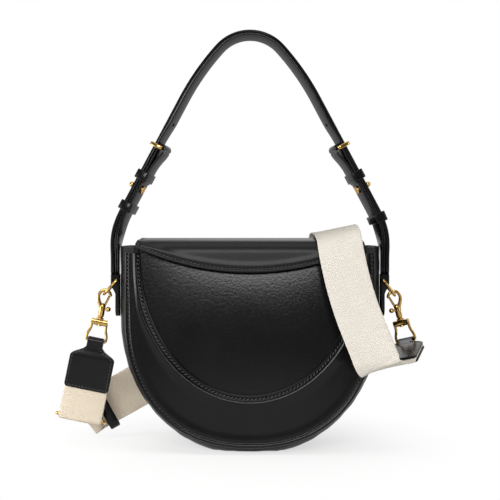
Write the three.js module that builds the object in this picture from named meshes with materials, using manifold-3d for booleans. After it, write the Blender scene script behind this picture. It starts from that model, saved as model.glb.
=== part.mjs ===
// Crescent bag: a half-moon leather body with a flap, a buckled top handle and a clip-on webbing
// strap. Millimetres, +Z up, +Y away from the viewer, origin at the middle of the flat base.
import * as THREE from 'three';
import { mergeVertices } from 'three/addons/utils/BufferGeometryUtils.js';
import Module from 'manifold-3d';

const wasm = await Module();
wasm.setup();

// Clearances
const SEAT_GAP = 0.35;
const RUNNING_GAP = 0.5;

// Body: two leaning half-moon panels, straight above CURVE_TOP and a super-ellipse below it
const PANEL_HALF_WIDTH = 104.5;
const PANEL_BOTTOM = 5.5;
const CURVE_TOP = 116;
const CURVE_POWER = 2.25;
const BODY_TOP = 170.5;
const FRONT_TOP_DROP = 4.5;
const HALF_DEPTH_BASE = 35;
const HALF_DEPTH_TOP = 20;
const PANEL_THICKNESS = 2;
const CRESCENT_THICKNESS = 1.8;
const CRESCENT_TOP_WIDTH = 13;
const CRESCENT_BASE_WIDTH = 44;

// Gusset: flanges sewn inside both panels, and a wall that bulges past the rim
const GUSSET_WALL = 1.8;
const GUSSET_FLANGE = 7;
const GUSSET_CREASE = 3.5;
const GUSSET_BULGE = 5.5;
const BASE_BULGE = 11;
const BASE_BULGE_POWER = 6;

// Lining and slip pocket
const LINING_THICKNESS = 0.8;
const LINING_GAP = 1;
const POCKET_WIDTH = 120;
const POCKET_HEIGHT = 75;
const POCKET_BELOW_TOP = 35;

// Flap, its sewn strip on the back and the magnetic snap
const FLAP_THICKNESS = 2.6;
const FLAP_HALF_WIDTH = 97;
const FLAP_HINGE_HALF_WIDTH = 91.5;
const FLAP_TAPER_FROM = 26.5;
const FLAP_TAPER_TO = 18;
const FLAP_CROWN = 2.2;
const FLAP_STAND_OFF = 5;
const FLAP_BEND_RADIUS = 5;
const FLAP_DROP = 24.5;
const FLAP_HEM_RADIUS = 228;
const FLAP_CORNER_RADIUS = 5;
const HINGE_RISE = 3.7;
const HINGE_STRIP_THICKNESS = 1.8;
const HINGE_STRIP_HEIGHT = 24;
const SNAP_RADIUS = 8;
const SNAP_NOSE_RADIUS = 5;
const SNAP_SOCKET_THICKNESS = 1.8;
const SNAP_FLANGE_THICKNESS = 1.2;
const SNAP_ABOVE_HEM = 9;

// Handle: the strap's outer face runs up, bends in, slants and turns over the top
const STRAP_WIDTH = 14;
const TAIL_THICKNESS = 3.4;
const ARCH_THICKNESS = 4.6;
const TAB_THICKNESS = 3.4;
const TAB_PLY = 1.9;
const PIVOT_BELOW_TOP = 18.5;
const BEND_RISE = 12;
const BEND_RADIUS = 80;
const HANDLE_SLANT = THREE.MathUtils.degToRad(28);
const HANDLE_SHOULDER_RADIUS = 220;
const HANDLE_SHOULDER_SLANT = THREE.MathUtils.degToRad(42);
const HANDLE_HEIGHT = 352.6;
const HANDLE_TWIST = THREE.MathUtils.degToRad(20);
const TWIST_FROM = 8;
const TWIST_TO = 36;
const HANDLE_SWING_LIMIT = THREE.MathUtils.degToRad(60);
const ANCHOR_THICKNESS = 7.65;
const ANCHOR_LOWER_THICKNESS = 3.8;
const ANCHOR_LENGTH = 34;
const ANCHOR_STEP = 13;

// Fittings on each handle leg, measured along the strap from the pivot
const LOWER_KEEPER_AT_LEFT = 55.5;
const LOWER_KEEPER_AT_RIGHT = 44.5;
const STUD_AT = 74;
const UPPER_KEEPER_AT = 85;
const BUCKLE_AT = 113;
const KEEPER_LENGTH = 8;
const KEEPER_WALL = 1.6;
const BUCKLE_BAR = 2.2;
const BUCKLE_LENGTH = 2.6;
const STUD_BALL_RADIUS = 2.4;
const STUD_NECK_RADIUS = 1.4;
const STUD_NECK_LENGTH = 0.8;
const STUD_FLANGE_RADIUS = 2.9;
const STUD_FLANGE_THICKNESS = 0.8;
const STUD_POST_RADIUS = 1.7;
const SCREW_HEAD_RADIUS = 3.4;
const SCREW_HEAD_THICKNESS = 1.1;
const SCREW_SLOT_WIDTH = 0.8;
const SCREW_SLOT_DEPTH = 0.5;

// D-rings
const RING_WIRE_RADIUS = 1.3;
const RING_HALF_WIDTH = 9.5;
const RING_LENGTH = 17.5;
const RING_CORNER = 2;
const RING_BELOW_PIVOT = 9.7;

// Trigger clasp, drawn in its own frame: eye at the origin, shank down, gate on +X
const EYE_HALF_WIDTH = 3.8;
const EYE_HALF_HEIGHT = 4.6;
const CLAW_BAND = 2.6;
const CLAW_THICKNESS = 4.2;
const CLAW_BEVEL = 0.8;
const CLAW_TIP_ANGLE = THREE.MathUtils.degToRad(23);
const CLAW_HEEL_ANGLE = THREE.MathUtils.degToRad(325);
const BARREL_RADIUS = 2.7;
const BARREL_LENGTH = 13;
const COLLAR_RADIUS = 3;
const STEM_RADIUS = 1.4;
const RIVET_RADIUS = 2.3;
const RIVET_THICKNESS = 1.1;
const SWIVEL_RADIUS = 3;
const SWIVEL_LENGTH = 4;
const LOOP_WIRE_RADIUS = 1.2;
const LOOP_HALF_WIDTH = 8.4;
const LOOP_NECK_HALF_WIDTH = 6.2;
const LOOP_NECK_CORNER = 1.8;
const LOOP_NECK_LENGTH = 6;
const LOOP_FLARE_LENGTH = 6.5;
const CLASP_LENGTH = 38.5;
const TRIGGER_THICKNESS = 1.7;
const TRIGGER_PIVOT = new THREE.Vector2(0.4, -10.9);
const TRIGGER_HUB_RADIUS = 2;
const TRIGGER_KNOB_RADIUS = 2.2;
const TRIGGER_KNOB_REACH = 5.2;
const GATE_INSET = 0.4;
const GATE_END_ANGLE = THREE.MathUtils.degToRad(8);
const GATE_HEEL_ANGLE = THREE.MathUtils.degToRad(-62);
const PIN_RADIUS = 0.8;
const WIRE_IN_EYE = new THREE.Vector2(-0.9, 2);

// How each clasp hangs: ring drop, clasp tilt, loop yaw and end tab pitch
const SIDES = [
  { name: 'left', sign: -1, ringDrop: 47, tilt: 11.5, yaw: 0, pitch: 0 },
  { name: 'right', sign: 1, ringDrop: 52, tilt: -15.8, yaw: -25, pitch: -78 },
];

// Shoulder strap
const WEBBING_WIDTH = 37;
const WEBBING_THICKNESS = 1.6;
const LAYER_PITCH = 2.4;
const END_TAB_PLY = 1.6;
const END_TAB_LENGTH = 42;
const END_TAB_HALF_WIDTH = 19;
const END_TAB_NECK_HALF_WIDTH = 6.8;
const END_TAB_NECK_LENGTH = 5;
const END_TAB_SHOULDER = 10;
const END_TAB_CORNER = 3;
const END_TAB_GLUED_LENGTH = 11;
const WEBBING_IN_TAB = 28;
const SHORT_WEBBING_DROP = 25;
const STRAP_RING_WIRE = 1.5;
const STRAP_RING_CORNER = 1.5;
const RING_FOLD_START = 6;
const STRAP_RING_REACH = 12;
const SLIDER_WIRE = 1.4;
const SLIDER_HALF_LENGTH = 8;
const SLIDER_PLATE = 2.2;
const STRAP_KEEPER_LENGTH = 11;
const STRAP_KEEPER_WALL = 1.5;

// The long webbing's chosen route: over the front, over the flap, then down behind the body.
// Each row is a point on the middle line and the direction of the webbing's width there.
const FRONT_ROUTE = [
  [[108.2, -51.5, 75], [0.9, -0.3, 0.32]],
  [[104.6, -55.5, 76.2], [0.92, -0.22, 0.33]],
  [[101.6, -56.5, 81.5], [0.94, -0.12, 0.33]],
  [[98.4, -54.5, 90], [0.95, -0.05, 0.32]],
  [[93.3, -50.5, 103], [0.95, 0, 0.31]],
  [[86.6, -45.5, 121], [0.95, 0, 0.3]],
  [[80, -40.5, 144], [0.955, 0, 0.29]],
  [[75.4, -36, 166], [0.96, 0, 0.27]],
  [[73.6, -29.5, 179], [0.965, 0, 0.25]],
  [[72.6, -18, 183.4], [0.97, 0, 0.24]],
  [[72.2, 0, 184.2], [0.97, 0, 0.22]],
  [[71.8, 16, 183.5], [0.975, 0, 0.18]],
  [[70.6, 27.5, 178], [0.98, 0, 0]],
  [[68.4, 33, 167.5], [0.95, 0, -0.25]],
];
const REAR_ROUTE = [
  [[64.5, 35, 157.5], [0.9, 0, -0.42]],
  [[50, 37.5, 140], [0.82, 0, -0.57]],
  [[25, 41, 117], [0.7, 0, -0.71]],
  [[-5, 44, 96], [0.62, 0, -0.78]],
  [[-40, 46, 76], [0.52, 0, -0.85]],
  [[-75, 47, 57.5], [0.47, 0, -0.88]],
  [[-98, 46.5, 45], [0.47, 0, -0.88]],
  [[-116, 45.5, 35], [0.47, 0, -0.88]],
  [[-130, 44.5, 27.5], [0.47, 0, -0.88]],
  [[-140, 42, 22], [0.48, 0, -0.87]],
  [[-145, 37, 19], [0.53, 0, -0.85]],
  [[-146.2, 31, 18.2], [0.68, 0, -0.73]],
  [[-146.2, 25, 18], [0.86, 0, -0.51]],
];
const FRONT_STEPS = 44;
const REAR_STEPS = 39;
const SLIDER_AT_STEP = 12;
const STRAP_KEEPER_AT_STEP = 24;

// Sizes that follow from those above
const LEAN = Math.atan((HALF_DEPTH_BASE - HALF_DEPTH_TOP) / BODY_TOP);
const FRONT_TOP = BODY_TOP - FRONT_TOP_DROP;
const FRONT_STACK = CRESCENT_THICKNESS + SEAT_GAP + PANEL_THICKNESS + SEAT_GAP;
const BACK_STACK = PANEL_THICKNESS + SEAT_GAP;
const SIDE_REACH = PANEL_HALF_WIDTH + GUSSET_BULGE;
const LEG_OUTER = SIDE_REACH + SEAT_GAP + ANCHOR_THICKNESS;
const PIVOT_HEIGHT = BODY_TOP - PIVOT_BELOW_TOP;
const STRAP_HALF_WIDTH = STRAP_WIDTH / 2;
const HINGE_HEIGHT = BODY_TOP + HINGE_RISE;
const HINGE_DEPTH = depthAt(BODY_TOP) + SEAT_GAP + HINGE_STRIP_THICKNESS / 2;
const HEM_HEIGHT = HINGE_HEIGHT - FLAP_DROP;
const WEBBING_LIFT = WEBBING_THICKNESS / 2 + SEAT_GAP;

const bag = new THREE.Group();
const blackLeather = () => new THREE.MeshStandardMaterial({ color: 0x1b1b1c, roughness: 0.5 });
const creamWebbing = () => new THREE.MeshStandardMaterial({ color: 0xece4d6, roughness: 0.9 });
const goldBrass = () => new THREE.MeshStandardMaterial({ color: 0xc9a862, roughness: 0.25, metalness: 1 });
const darkLining = () => new THREE.MeshStandardMaterial({ color: 0x26262a, roughness: 0.9 });
const dullSteel = () => new THREE.MeshStandardMaterial({ color: 0x8d8f92, roughness: 0.4, metalness: 1 });

// Geometry helpers

// The outer face of the front panel lies this far in front of the middle at a given height.
function depthAt(height) {
  return HALF_DEPTH_BASE - height * (HALF_DEPTH_BASE - HALF_DEPTH_TOP) / BODY_TOP;
}

function addPart(parent, name, geometry, material) {
  const mesh = new THREE.Mesh(geometry, material);
  mesh.name = name;
  parent.add(mesh);
  return mesh;
}

function mirrored(geometry) {
  const copy = geometry.index ? geometry.toNonIndexed() : geometry.clone();
  copy.scale(-1, 1, 1);
  const position = copy.getAttribute('position');
  const corner = new THREE.Vector3();
  const other = new THREE.Vector3();
  for (let i = 0; i < position.count; i += 3) {
    corner.fromBufferAttribute(position, i + 1);
    other.fromBufferAttribute(position, i + 2);
    position.setXYZ(i + 1, other.x, other.y, other.z);
    position.setXYZ(i + 2, corner.x, corner.y, corner.z);
  }
  return copy;
}

function addPair(parent, name, rightGeometry, material) {
  addPart(parent, `${name}_right`, rightGeometry, material());
  addPart(parent, `${name}_left`, mirrored(rightGeometry), material());
}

function toSolid(geometry) {
  const bare = new THREE.BufferGeometry();
  bare.setAttribute('position', geometry.getAttribute('position').clone());
  if (geometry.index) {
    bare.setIndex(geometry.index.clone());
  }
  const merged = mergeVertices(bare, 1e-4);
  return new wasm.Manifold(new wasm.Mesh({
    numProp: 3,
    vertProperties: new Float32Array(merged.getAttribute('position').array),
    triVerts: new Uint32Array(merged.index.array),
  }));
}

function toGeometry(solid) {
  const mesh = solid.getMesh();
  const geometry = new THREE.BufferGeometry();
  geometry.setAttribute('position', new THREE.Float32BufferAttribute(mesh.vertProperties, 3));
  geometry.setIndex([...mesh.triVerts]);
  return geometry;
}

const join = (...parts) => toGeometry(parts.map(toSolid).reduce((sum, next) => sum.add(next)));
const cut = (body, ...tools) => toGeometry(tools.map(toSolid).reduce((rest, next) => rest.subtract(next), toSolid(body)));
const common = (first, second) => toGeometry(toSolid(first).intersect(toSolid(second)));

// Extrudes an outline drawn in X and Z along Y, centred on Y = 0.
function extrudeAlongY(shape, length, options = {}) {
  const geometry = new THREE.ExtrudeGeometry(shape, { depth: length, bevelEnabled: false, curveSegments: 10, ...options });
  geometry.rotateX(Math.PI / 2);
  geometry.translate(0, length / 2, 0);
  return geometry;
}

// Extrudes an outline drawn in Y and Z along X, centred on X = 0.
function extrudeAlongX(shape, length) {
  const geometry = new THREE.ExtrudeGeometry(shape, { depth: length, bevelEnabled: false, curveSegments: 10 });
  geometry.translate(0, 0, -length / 2);
  geometry.applyMatrix4(new THREE.Matrix4().makeBasis(
    new THREE.Vector3(0, 1, 0),
    new THREE.Vector3(0, 0, 1),
    new THREE.Vector3(1, 0, 0),
  ));
  return geometry;
}

// Turns a profile of [radius, height] pairs about Z.
function turnAboutZ(profile, segments = 14) {
  const geometry = new THREE.LatheGeometry(profile.map(([radius, height]) => new THREE.Vector2(radius, height)), segments);
  geometry.rotateX(Math.PI / 2);
  return facingOut(geometry);
}

function rectangle(x0, z0, x1, z1) {
  return new THREE.Shape([
    new THREE.Vector2(x0, z0),
    new THREE.Vector2(x1, z0),
    new THREE.Vector2(x1, z1),
    new THREE.Vector2(x0, z1),
  ]);
}

function circleHole(x, z, radius) {
  return new THREE.Path().absarc(x, z, radius, 0, 2 * Math.PI, false);
}

function facingOut(geometry) {
  const flat = mergeVertices(geometryWithPositionOnly(geometry), 1e-5);
  const position = flat.getAttribute('position');
  const index = flat.index;
  const corners = [new THREE.Vector3(), new THREE.Vector3(), new THREE.Vector3()];
  const kept = [];
  let volume = 0;
  for (let i = 0; i < index.count; i += 3) {
    const triple = [index.getX(i), index.getX(i + 1), index.getX(i + 2)];
    if (new Set(triple).size < 3) {
      continue;
    }
    triple.forEach((vertex, corner) => corners[corner].fromBufferAttribute(position, vertex));
    volume += corners[0].dot(corners[1].clone().cross(corners[2]));
    kept.push(triple);
  }
  flat.setIndex(kept.flatMap(([a, b, c]) => (volume < 0 ? [a, c, b] : [a, b, c])));
  return flat;
}

function geometryWithPositionOnly(geometry) {
  const bare = new THREE.BufferGeometry();
  bare.setAttribute('position', geometry.getAttribute('position'));
  if (geometry.index) {
    bare.setIndex(geometry.index);
  }
  return bare;
}

// Skins a row of rings with the same number of points, and caps its ends unless it closes.
function loft(rings, capFaces = null) {
  const count = rings[0].length;
  const points = rings.flat();
  const faces = [];
  const spans = capFaces ? rings.length - 1 : rings.length;
  for (let i = 0; i < spans; i += 1) {
    const next = (i + 1) % rings.length;
    for (let j = 0; j < count; j += 1) {
      const across = (j + 1) % count;
      const a = i * count + j;
      const b = i * count + across;
      const c = next * count + across;
      const d = next * count + j;
      faces.push(a, b, c, a, c, d);
    }
  }
  const last = (rings.length - 1) * count;
  for (const [a, b, c] of capFaces ?? []) {
    faces.push(a, c, b, last + a, last + b, last + c);
  }
  const geometry = new THREE.BufferGeometry();
  geometry.setAttribute('position', new THREE.Float32BufferAttribute(points.flatMap((p) => [p.x, p.y, p.z]), 3));
  geometry.setIndex(faces);
  return facingOut(geometry);
}

function capOf(section) {
  const faces = THREE.ShapeUtils.triangulateShape(section, []);
  const [a, b, c] = faces[0].map((i) => section[i]);
  const turn = (b.x - a.x) * (c.y - a.y) - (b.y - a.y) * (c.x - a.x);
  const alike = (turn > 0) === (THREE.ShapeUtils.area(section) > 0);
  return alike ? faces : faces.map(([i, j, k]) => [i, k, j]);
}

// A round wire along points that lie in one plane.
function planarWire(points, planeNormal, radius, closed) {
  const sides = 8;
  const rings = points.map((point, i) => {
    const before = closed ? points.at(i - 1) : points[Math.max(i - 1, 0)];
    const after = closed ? points[(i + 1) % points.length] : points[Math.min(i + 1, points.length - 1)];
    const tangent = after.clone().sub(before).normalize();
    const across = planeNormal.clone().cross(tangent).normalize();
    return Array.from({ length: sides }, (_, j) => {
      const angle = (2 * Math.PI * j) / sides;
      return point.clone()
        .addScaledVector(across, radius * Math.cos(angle))
        .addScaledVector(planeNormal, radius * Math.sin(angle));
    });
  });
  const cap = Array.from({ length: sides - 2 }, (_, j) => [0, j + 1, j + 2]);
  return loft(rings, closed ? null : cap);
}

function arcPoints(centreX, centreY, radius, from, to, steps) {
  return Array.from({ length: steps + 1 }, (_, i) => {
    const angle = from + ((to - from) * i) / steps;
    return new THREE.Vector2(centreX + radius * Math.cos(angle), centreY + radius * Math.sin(angle));
  });
}

// A strip of even thickness along an open line, as a closed outline.
function stripShape(line, thickness) {
  const offset = (side) => line.map((point, i) => {
    const before = line[Math.max(i - 1, 0)];
    const after = line[Math.min(i + 1, line.length - 1)];
    const tangent = after.clone().sub(before).normalize();
    return new THREE.Vector2(
      point.x - tangent.y * side * thickness / 2,
      point.y + tangent.x * side * thickness / 2,
    );
  });
  return new THREE.Shape([...offset(1), ...offset(-1).reverse()]);
}

// Body panels

// The right half of the panel's outline, from its top corner down to the bottom middle.
function halfOutline(inset, top, steps = 14) {
  const points = [new THREE.Vector2(PANEL_HALF_WIDTH - inset, top)];
  for (let i = 0; i <= steps; i += 1) {
    const angle = (Math.PI / 2) * (i / steps);
    points.push(new THREE.Vector2(
      (PANEL_HALF_WIDTH - inset) * Math.cos(angle) ** (2 / CURVE_POWER),
      CURVE_TOP - (CURVE_TOP - PANEL_BOTTOM - inset) * Math.sin(angle) ** (2 / CURVE_POWER),
    ));
  }
  points.at(-1).x = 0;
  return points;
}

function wholeOutline(inset, top) {
  const right = halfOutline(inset, top);
  const left = right.slice(0, -1).map((point) => new THREE.Vector2(-point.x, point.y));
  return [...left, ...right.reverse()];
}

function crescentShape() {
  const outer = wholeOutline(0, FRONT_TOP);
  const cutHalfWidth = PANEL_HALF_WIDTH - CRESCENT_TOP_WIDTH;
  const cutDepth = FRONT_TOP - PANEL_BOTTOM - CRESCENT_BASE_WIDTH;
  const inner = [];
  const steps = 28;
  for (let i = 0; i <= steps; i += 1) {
    const angle = (Math.PI * i) / steps;
    inner.push(new THREE.Vector2(cutHalfWidth * Math.cos(angle), FRONT_TOP - cutDepth * Math.sin(angle)));
  }
  return new THREE.Shape([...outer, ...inner]);
}

// A sheet set back from a panel's outer face, in a frame that leans with that face.
function leaningFrame(side) {
  const frame = new THREE.Group();
  frame.position.set(0, side * HALF_DEPTH_BASE, 0);
  frame.rotation.x = side * LEAN;
  bag.add(frame);
  return frame;
}

function sheetAt(shape, setBack, thickness, side) {
  const geometry = extrudeAlongY(shape, thickness);
  geometry.translate(0, -side * (setBack + thickness / 2), 0);
  return geometry;
}

const front = leaningFrame(-1);
const back = leaningFrame(1);
const panelSetBack = CRESCENT_THICKNESS + SEAT_GAP;
const frontPanel = sheetAt(new THREE.Shape(wholeOutline(0, FRONT_TOP)), panelSetBack, PANEL_THICKNESS, -1);
addPart(front, 'front_panel', frontPanel, blackLeather());
addPart(front, 'front_crescent', sheetAt(crescentShape(), 0, CRESCENT_THICKNESS, -1), blackLeather());
addPart(back, 'back_panel', sheetAt(new THREE.Shape(wholeOutline(0, BODY_TOP)), 0, PANEL_THICKNESS, 1), blackLeather());

// Lining sheets stop short of the gusset's flanges.
const liningInset = GUSSET_FLANGE + 2 * SEAT_GAP + LINING_THICKNESS;
const frontLining = new THREE.Shape(wholeOutline(liningInset, FRONT_TOP));
const backLining = new THREE.Shape(wholeOutline(liningInset, BODY_TOP));
addPart(front, 'lining_front', sheetAt(frontLining, FRONT_STACK, LINING_THICKNESS, -1), darkLining());
addPart(back, 'lining_back', sheetAt(backLining, BACK_STACK, LINING_THICKNESS, 1), darkLining());
const pocketTop = BODY_TOP - POCKET_BELOW_TOP;
const pocketShape = rectangle(-POCKET_WIDTH / 2, pocketTop - POCKET_HEIGHT, POCKET_WIDTH / 2, pocketTop);
const pocketSetBack = BACK_STACK + LINING_THICKNESS + SEAT_GAP;
addPart(back, 'inner_pocket', sheetAt(pocketShape, pocketSetBack, LINING_THICKNESS, 1), darkLining());

// Gusset and its lining: one section carried round the outline

function gussetLoft(section, floor) {
  const right = halfOutline(0, BODY_TOP, 16);
  const straight = [0.33, 0.66].map((share) => right[0].clone().lerp(right[1], share));
  const half = [right[0], ...straight, ...right.slice(1)];
  const left = half.slice(0, -1).map((point) => new THREE.Vector2(-point.x, point.y));
  const path = [...left, ...half.reverse()];
  const rings = path.map((point, i) => {
    const tangent = path[Math.min(i + 1, path.length - 1)].clone().sub(path[Math.max(i - 1, 0)]).normalize();
    const outward = new THREE.Vector2(tangent.y, -tangent.x);
    const underside = Math.max(0, -outward.y) ** BASE_BULGE_POWER;
    const bulge = GUSSET_BULGE + (BASE_BULGE - GUSSET_BULGE) * underside;
    return section(bulge).map(({ out, share, set, side, lift }) => {
      const x = point.x + outward.x * out;
      const z = Math.max(point.y + outward.y * out, floor + lift);
      const nearFace = -depthAt(z) + FRONT_STACK / Math.cos(LEAN);
      const farFace = depthAt(z) - BACK_STACK / Math.cos(LEAN);
      const middle = (nearFace + farFace) / 2;
      const start = side < 0 ? nearFace + set : farFace - set;
      return new THREE.Vector3(x, start + share * (middle - start), z);
    });
  });
  const flat = section(GUSSET_BULGE).map(({ out, share, set, side }) => new THREE.Vector2(side * (20 - set - share * (20 - set)), out));
  return loft(rings, capOf(flat));
}

// Points of the gusset's section: outside from the front edge to the back edge, then inside.
function gussetSection(bulge) {
  const wallOutside = (side) => [
    { out: 0, share: 0, set: GUSSET_WALL, side, lift: 0 },
    { out: -GUSSET_CREASE, share: 0, set: GUSSET_WALL + 0.8, side, lift: 0 },
    { out: -GUSSET_CREASE + 0.55 * (bulge + GUSSET_CREASE), share: 0.22, set: GUSSET_WALL, side, lift: 0 },
    { out: -GUSSET_CREASE + 0.88 * (bulge + GUSSET_CREASE), share: 0.52, set: GUSSET_WALL, side, lift: 0 },
  ];
  const wallInside = (side) => [
    { out: 0, share: 0, set: 0, side, lift: 0 },
    { out: -GUSSET_FLANGE, share: 0, set: 0, side, lift: GUSSET_WALL },
    { out: -GUSSET_FLANGE + 0.3, share: 0, set: GUSSET_WALL + 1.2, side, lift: GUSSET_WALL },
    { out: -GUSSET_CREASE - GUSSET_WALL + 0.55 * (bulge + GUSSET_CREASE), share: 0.27, set: GUSSET_WALL, side, lift: GUSSET_WALL },
    { out: -GUSSET_CREASE - GUSSET_WALL + 0.88 * (bulge + GUSSET_CREASE), share: 0.54, set: GUSSET_WALL, side, lift: GUSSET_WALL },
  ];
  return [
    ...wallOutside(-1),
    { out: bulge, share: 1, set: 0, side: -1, lift: 0 },
    ...wallOutside(1).reverse(),
    ...wallInside(1),
    { out: bulge - GUSSET_WALL, share: 1, set: 0, side: 1, lift: GUSSET_WALL },
    ...wallInside(-1).reverse(),
  ];
}

function gussetLiningSection(bulge) {
  const depth = GUSSET_CREASE + GUSSET_WALL + LINING_GAP;
  const layer = (side, inner) => [
    { out: -GUSSET_FLANGE - SEAT_GAP - inner, share: 0, set: LINING_THICKNESS + 2 * SEAT_GAP + 0.4, side, lift: inner },
    { out: -GUSSET_FLANGE - SEAT_GAP - inner + 0.4, share: 0, set: GUSSET_WALL + 1.4, side, lift: inner },
    { out: -depth - inner + 0.55 * (bulge + GUSSET_CREASE), share: 0.27, set: GUSSET_WALL, side, lift: inner },
    { out: -depth - inner + 0.88 * (bulge + GUSSET_CREASE), share: 0.54, set: GUSSET_WALL, side, lift: inner },
  ];
  return [
    ...layer(-1, 0),
    { out: bulge - GUSSET_WALL - LINING_GAP, share: 1, set: 0, side: -1, lift: 0 },
    ...layer(1, 0).reverse(),
    ...layer(1, LINING_THICKNESS),
    { out: bulge - GUSSET_WALL - LINING_GAP - LINING_THICKNESS, share: 1, set: 0, side: 1, lift: LINING_THICKNESS },
    ...layer(-1, LINING_THICKNESS).reverse(),
  ];
}

addPart(bag, 'gusset', gussetLoft(gussetSection, 0), blackLeather());
addPart(bag, 'lining_gusset', gussetLoft(gussetLiningSection, GUSSET_WALL + LINING_GAP), darkLining());

// Flap, hinge strip and snap

function flapLine() {
  const frontDepth = (height) => -depthAt(height) - FLAP_STAND_OFF - FLAP_THICKNESS / 2;
  const bendTop = HINGE_HEIGHT + FLAP_CROWN / 2;
  const bendY = frontDepth(HINGE_HEIGHT) + FLAP_BEND_RADIUS;
  const top = [];
  const steps = 8;
  for (let i = 0; i <= steps; i += 1) {
    const share = i / steps;
    const rise = (FLAP_CROWN / 2) * share + FLAP_CROWN * Math.sin(Math.PI * share) * 0.6;
    top.push(new THREE.Vector2(HINGE_DEPTH + (bendY - HINGE_DEPTH) * share, HINGE_HEIGHT + rise));
  }
  const bend = arcPoints(bendY, bendTop - FLAP_BEND_RADIUS, FLAP_BEND_RADIUS, Math.PI / 2, Math.PI - LEAN, 6);
  const below = HEM_HEIGHT - FLAP_THICKNESS;
  const drop = new THREE.Vector2(bend.at(-1).x - (bend.at(-1).y - below) * Math.tan(LEAN), below);
  return [...top, ...bend.slice(1), drop];
}

function flapOutline() {
  const high = HINGE_HEIGHT + 2 * FLAP_CROWN + FLAP_THICKNESS;
  const sideX = FLAP_HALF_WIDTH;
  const cornerX = sideX - FLAP_CORNER_RADIUS;
  const hemCentre = HEM_HEIGHT + FLAP_HEM_RADIUS;
  const hemEnd = Math.acos(cornerX / FLAP_HEM_RADIUS);
  const cornerZ = hemCentre - FLAP_HEM_RADIUS * Math.sin(hemEnd);
  const hem = arcPoints(0, hemCentre, FLAP_HEM_RADIUS, Math.PI + hemEnd, 2 * Math.PI - hemEnd, 20);
  return new THREE.Shape([
    new THREE.Vector2(-sideX, high),
    new THREE.Vector2(-sideX, cornerZ + FLAP_CORNER_RADIUS),
    new THREE.Vector2(-sideX + 0.3 * FLAP_CORNER_RADIUS, cornerZ + 0.35 * FLAP_CORNER_RADIUS),
    ...hem,
    new THREE.Vector2(sideX - 0.3 * FLAP_CORNER_RADIUS, cornerZ + 0.35 * FLAP_CORNER_RADIUS),
    new THREE.Vector2(sideX, cornerZ + FLAP_CORNER_RADIUS),
    new THREE.Vector2(sideX, high),
  ]);
}

const flapSheet = extrudeAlongX(stripShape(flapLine(), FLAP_THICKNESS), 2 * FLAP_HALF_WIDTH + 2);
const flapTrim = extrudeAlongY(flapOutline(), 4 * HALF_DEPTH_BASE);

// Behind its front bend the flap is narrower, so that it can swing up between the handle's legs.
const clear = 2 * FLAP_HALF_WIDTH;
const flapSide = new THREE.ExtrudeGeometry(new THREE.Shape([
  new THREE.Vector2(FLAP_HALF_WIDTH, -FLAP_TAPER_FROM),
  new THREE.Vector2((FLAP_HALF_WIDTH + FLAP_HINGE_HALF_WIDTH) / 2, -FLAP_TAPER_TO),
  new THREE.Vector2(FLAP_HINGE_HALF_WIDTH, HALF_DEPTH_TOP),
  new THREE.Vector2(FLAP_HINGE_HALF_WIDTH, clear),
  new THREE.Vector2(clear, clear),
  new THREE.Vector2(clear, -FLAP_TAPER_FROM),
]), { depth: 2 * HINGE_HEIGHT, bevelEnabled: false });
addPart(bag, 'flap', cut(common(flapSheet, flapTrim), flapSide, mirrored(flapSide)), blackLeather());

const stripTop = BODY_TOP + HINGE_RISE - FLAP_THICKNESS / 2 - RUNNING_GAP;
const hingeStrip = rectangle(
  -FLAP_HINGE_HALF_WIDTH,
  stripTop - HINGE_STRIP_HEIGHT,
  FLAP_HINGE_HALF_WIDTH,
  stripTop,
);
const stripSetBack = -SEAT_GAP - HINGE_STRIP_THICKNESS;
addPart(back, 'flap_hinge_strip', sheetAt(hingeStrip, stripSetBack, HINGE_STRIP_THICKNESS, 1), blackLeather());

// The snap's halves are turned about an axis square to the front panel.
const snapHeight = HEM_HEIGHT + SNAP_ABOVE_HEM;
const snap = new THREE.Group();
snap.position.set(0, panelSetBack - SEAT_GAP, snapHeight);
snap.rotation.x = Math.PI / 2;
front.add(snap);
const socketProfile = [[0, 0], [SNAP_RADIUS, 0], [SNAP_RADIUS, SNAP_SOCKET_THICKNESS], [0, SNAP_SOCKET_THICKNESS]];
addPart(snap, 'snap_socket', turnAboutZ(socketProfile, 20), dullSteel());
const studFrom = SNAP_SOCKET_THICKNESS + SEAT_GAP;
const studTo = panelSetBack + FLAP_STAND_OFF * Math.cos(LEAN) - 3 * SEAT_GAP;
const studProfile = [
  [0, studFrom],
  [SNAP_NOSE_RADIUS, studFrom],
  [SNAP_NOSE_RADIUS, studTo - SNAP_FLANGE_THICKNESS],
  [SNAP_RADIUS, studTo - SNAP_FLANGE_THICKNESS],
  [SNAP_RADIUS, studTo],
  [0, studTo],
];
addPart(snap, 'snap_stud', turnAboutZ(studProfile, 20), dullSteel());

// Handle leg: places are given along the strap's outer face and inward from it

// The outer line is a chain of straights and arcs. The slant's length and the top arc's radius are
// solved so that the chain ends level at the handle's height, above the middle of the bag.
function solveLeg() {
  const slant = HANDLE_SLANT;
  const shoulder = HANDLE_SHOULDER_SLANT;
  const width = LEG_OUTER - BEND_RADIUS * (1 - Math.cos(slant))
    - HANDLE_SHOULDER_RADIUS * (Math.cos(slant) - Math.cos(shoulder));
  const height = HANDLE_HEIGHT - PIVOT_HEIGHT - BEND_RISE - BEND_RADIUS * Math.sin(slant)
    - HANDLE_SHOULDER_RADIUS * (Math.sin(shoulder) - Math.sin(slant));
  const topWidth = Math.cos(shoulder);
  const topHeight = 1 - Math.sin(shoulder);
  const scale = topWidth * Math.cos(slant) - topHeight * Math.sin(slant);
  return {
    straightLength: (height * topWidth - width * topHeight) / scale,
    topRadius: (width * Math.cos(slant) - height * Math.sin(slant)) / scale,
  };
}

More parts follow.
